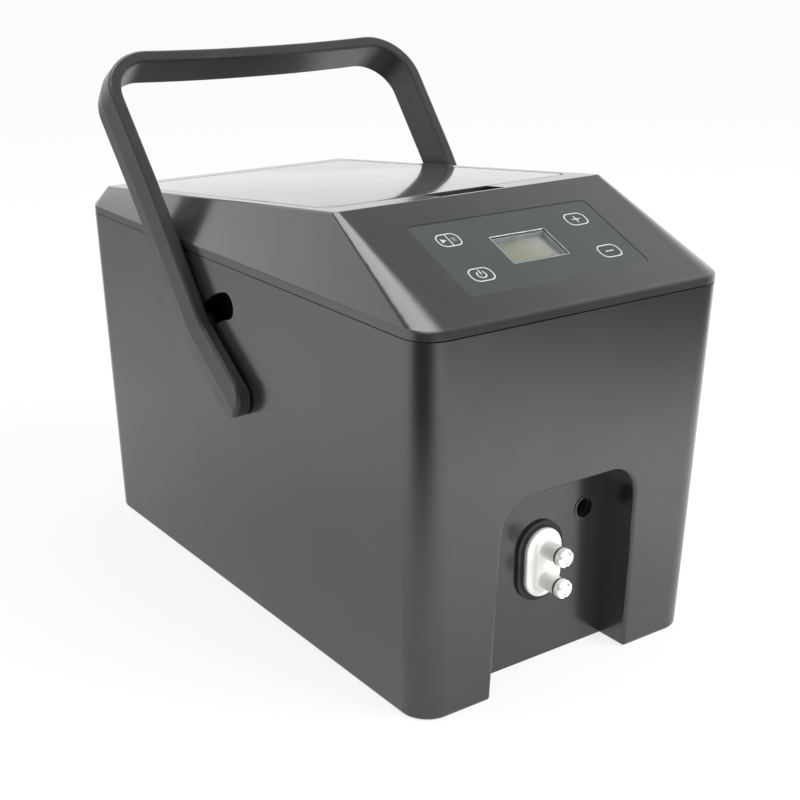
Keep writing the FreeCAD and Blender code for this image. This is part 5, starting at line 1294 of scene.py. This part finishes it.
@dataclass
class Studio:
    """Floor, surroundings, lamps and camera."""

    white: float = 0.985
    surround: float = 0.84
    zenith: float = 0.6                 # how bright shiny surfaces see the sky overhead
    dark_side: float = 0.26              # and the room in front of the machine
    glow: float = 0.82                  # share of the floor's white that no shadow takes away
    back_left: float = 0.56             # how much shiny surfaces lose of the floor behind on the left
    front_right: float = 0.9            # and far out on the right
    near_shade_level: float = 0.64            # painted shade: how bright they see the floor under the machine
    dark_mat: tuple[float, float, float] = (-0.72, -0.62, 0.0)      # mat that only shiny surfaces show
    mat_reach: tuple[float, float] = (0.24, 0.70)                   # where it starts and stops fading
    room: tuple[float, float, float] = (-0.25, -0.95, 0.19)
    skylight: tuple[float, float, float] = (0.0, 0.30, 0.954)
    skylight_level: float = 3.1
    horizon: float = 0.24               # how much brighter the low sky is
    flag: float = 0.55                  # how much the dark ring round the skylight takes away
    floor_size: float = 30.0
    lamps: list[Lamp] = field(default_factory=lambda: [
        Lamp("overhead_softbox", (-0.95, 0.5, 1.7), (0, 0, 0.25), (1.0, 1.0), 2.4, mirrored=False),
        Lamp("front_fill", (0.9, -1.5, 1.2), (0, 0, 0.1), (1.6, 1.6), 4.8, mirrored=False)])
    camera_at: tuple[float, float, float] = (-0.55371, -0.79331, 0.47025)
    camera_right: tuple[float, float, float] = (0.8104, -0.5859, 0.0041)
    camera_up: tuple[float, float, float] = (0.1939, 0.2748, 0.9417)
    camera_lens: float = 63.59

    def mirrored_floor(self, sheet: Sheet, place: bpy.types.NodeSocket) -> bpy.types.NodeSocket:
        """Draw how bright shiny surfaces see each place on the floor, with painted shade near the machine.

        Args:
            sheet: The floor's sheet.
            place: The place on the floor.

        Returns:
            The level's socket, 0 to 1.
        """
        off_mat = sheet.vector_maths("DISTANCE", place, self.dark_mat).outputs["Value"]
        split = sheet.add("ShaderNodeSeparateXYZ", {"Vector": place})
        across, along = split.outputs["X"], split.outputs["Y"]
        left = sheet.product(sheet.ramp(sheet.maths("ADD", across, along), -0.9, 0.8), self.back_left)
        left = sheet.product(left, sheet.ramp(sheet.product(across, -1.0), -0.1, 0.3))
        outward = sheet.ramp(sheet.maths("SUBTRACT", across, along), 0.62, 1.5)
        ahead = sheet.ramp(sheet.product(along, -1.0), 0.1, 0.4)
        right = sheet.product(outward, ahead, self.front_right)
        # painted shade: shiny surfaces see the floor darker near the machine
        reach = sheet.vector_maths("LENGTH", place).outputs["Value"]
        near = sheet.product(sheet.ramp(reach, 0.12, 0.55), 1 - self.near_shade_level)
        sides = sheet.maths("SUBTRACT", 1.0, sheet.maths("ADD", left, right))
        return sheet.product(sheet.ramp(off_mat, *self.mat_reach), sides,
                             sheet.maths("ADD", near, self.near_shade_level))

    def build_floor(self) -> None:
        """Lay the plain pale floor."""
        half = self.floor_size / 2
        corners = ((-half, -half), (half, -half), (half, half), (-half, half))
        mesh = Mesh([Vector((x, y, 0)) for x, y in corners], [(0, 1, 2, 3)])
        floor = mesh.build("floor")
        material = bpy.data.materials.new("pale_floor")
        material.use_nodes = True
        material.node_tree.nodes.clear()
        sheet = Sheet(material.node_tree)
        path = sheet.add("ShaderNodeLightPath")
        dim = sheet.maths("SUBTRACT", 1.0, self.mirrored_floor(sheet, sheet.place()))
        level = sheet.maths("SUBTRACT", 1.0, sheet.product(path.outputs["Is Glossy Ray"], dim))
        level = sheet.product(level, self.white)
        tone = sheet.add("ShaderNodeCombineColor", {"Red": level, "Green": level, "Blue": level}).outputs[0]
        paint = sheet.add("ShaderNodeBsdfDiffuse", {"Color": tone})
        shine = sheet.add("ShaderNodeEmission", {"Color": tone, "Strength": 1.0})
        seen = sheet.maths("MAXIMUM", path.outputs["Is Camera Ray"], path.outputs["Is Glossy Ray"])
        seen = sheet.maths("MAXIMUM", seen, path.outputs["Is Transmission Ray"])
        mix = sheet.add("ShaderNodeMixShader", {"Fac": sheet.product(seen, self.glow)})
        sheet.feed(mix.inputs[1], paint.outputs[0])
        sheet.feed(mix.inputs[2], shine.outputs[0])
        sheet.add("ShaderNodeOutputMaterial", {"Surface": mix.outputs[0]})
        floor.data.materials.append(material)

    def mirrored_sky(self, sheet: Sheet) -> bpy.types.NodeSocket:
        """Draw how bright shiny surfaces see the surroundings in each direction.

        Args:
            sheet: The world's sheet.

        Returns:
            The level's socket.
        """
        heading = sheet.add("ShaderNodeTexCoord").outputs["Generated"]
        height = sheet.add("ShaderNodeSeparateXYZ", {"Vector": heading}).outputs["Z"]
        aim = sheet.vector_maths("DOT_PRODUCT", heading, self.skylight).outputs["Value"]
        falloff = sheet.product(sheet.ramp(height, 0.2, 0.8), self.zenith - self.white)
        ring = sheet.maths("SUBTRACT", 1.0, sheet.product(sheet.ramp(aim, 0.70, 0.84), self.flag))
        low = sheet.maths("SUBTRACT", sheet.ramp(height, 0.05, 0.2), sheet.ramp(height, 0.3, 0.55))
        level = sheet.maths("ADD", sheet.maths("ADD", self.white, falloff), sheet.product(low, self.horizon))
        level = sheet.product(level, ring)
        glow = sheet.product(sheet.ramp(aim, 0.85, 0.96), self.skylight_level)
        level = sheet.maths("ADD", level, glow)
        facing = sheet.vector_maths("DOT_PRODUCT", heading, self.room).outputs["Value"]
        dimmed = sheet.product(sheet.ramp(facing, 0.05, 0.5), sheet.maths("SUBTRACT", self.dark_side, level))
        return sheet.maths("ADD", level, dimmed)

    def build_world(self) -> None:
        """Make the surroundings: white to look at, dimmer in front for shiny surfaces."""
        world = bpy.data.worlds.new("white_room")
        bpy.context.scene.world = world
        world.use_nodes = True
        world.node_tree.nodes.clear()
        sheet = Sheet(world.node_tree)
        path = sheet.add("ShaderNodeLightPath")
        seen = sheet.maths("MAXIMUM", path.outputs["Is Glossy Ray"], path.outputs["Is Transmission Ray"])
        lit = sheet.product(sheet.maths("SUBTRACT", 1.0, seen), self.surround)
        strength = sheet.maths("ADD", lit, sheet.product(seen, self.mirrored_sky(sheet)))
        watched = path.outputs["Is Camera Ray"]
        strength = sheet.maths("ADD", sheet.product(strength, sheet.maths("SUBTRACT", 1.0, watched)), watched)
        sky = sheet.add("ShaderNodeBackground", {"Color": (1.0, 1.0, 1.0, 1.0), "Strength": strength})
        sheet.add("ShaderNodeOutputWorld", {"Surface": sky.outputs[0]})

    def build_camera(self) -> None:
        """Stand the camera up."""
        data = bpy.data.cameras.new("camera")
        data.lens = self.camera_lens
        data.sensor_width = 36.0
        data.sensor_fit = "HORIZONTAL"
        data.clip_start = 0.01
        right, up = Vector(self.camera_right), Vector(self.camera_up)
        back = right.cross(up)
        turn = Matrix((right, up, back)).transposed().to_4x4()
        camera = bpy.data.objects.new("camera", data)
        camera.matrix_world = Matrix.Translation(Vector(self.camera_at)) @ turn
        bpy.context.scene.collection.objects.link(camera)
        bpy.context.scene.camera = camera

    def build(self) -> None:
        """Set the whole studio up."""
        bpy.context.scene.view_settings.view_transform = "Standard"
        self.build_camera()
        self.build_floor()
        self.build_world()
        for lamp in self.lamps:
            lamp.build()
            log.info("lamp %s", lamp.name)


NODE_COATS: dict[Coat, Sequence[str]] = {
    Coat.CASE: ("outer_tub", "top_housing", "socket_bezel"),
    Coat.LID: ("lid_cover",),
    Coat.HANDLE: ("carry_handle", "handle_stop_pegs"),
    Coat.RUBBER: ("rubber_feet", "lid_seal", "nozzle_o_rings", "coupling_gasket"),
    Coat.STEEL: ("housing_screws", "tank_screws", "board_screws", "coupling_screws", "pump_screws",
                 "pump_shaft", "handle_pivot_pins", "handle_clips", "valve_spring_upper",
                 "valve_spring_lower", "hose_clamps", "temperature_probe"),
    Coat.TANK: ("inner_tank", "lid_liner"),
    Coat.FOAM: ("tank_foam", "lid_foam"),
    Coat.FILM: ("panel_overlay",),
    Coat.KEY: ("key_play", "key_power", "key_plus", "key_minus"),
    Coat.GLASS: ("display_lens",),
    Coat.WELL: ("display_module",),
    Coat.BOARD: ("control_board",),
    Coat.SWITCH: ("key_switches", "power_socket", "power_socket_nut"),
    Coat.COUPLING: ("coupling_body", "coupling_clamp"),
    Coat.POPPET: ("valve_poppet_upper", "valve_poppet_lower"),
    Coat.BUSH: ("handle_bushes",),
    Coat.PUMP: ("pump_body", "pump_cover", "pump_impeller", "tank_fittings", "tank_nuts", "intake_filter"),
    Coat.MOTOR: ("pump_motor",),
    Coat.HOSE: ("suction_hose", "supply_hose", "return_hose", "motor_cable", "power_cable"),
}


def main() -> None:
    """Build the machine's looks and the studio."""
    logging.basicConfig(level=logging.INFO, format="%(name)s: %(message)s")
    Studio().build()
    paints = Paintbox()
    paints.dress_nodes(NODE_COATS)
    for part in (KeyPanel(paints), HoseCoupling(paints), LiftOffLid(paints), FootPads(paints)):
        part.build()
        log.info("%s is built", type(part).__name__)


if __name__ == "__main__":
    main()
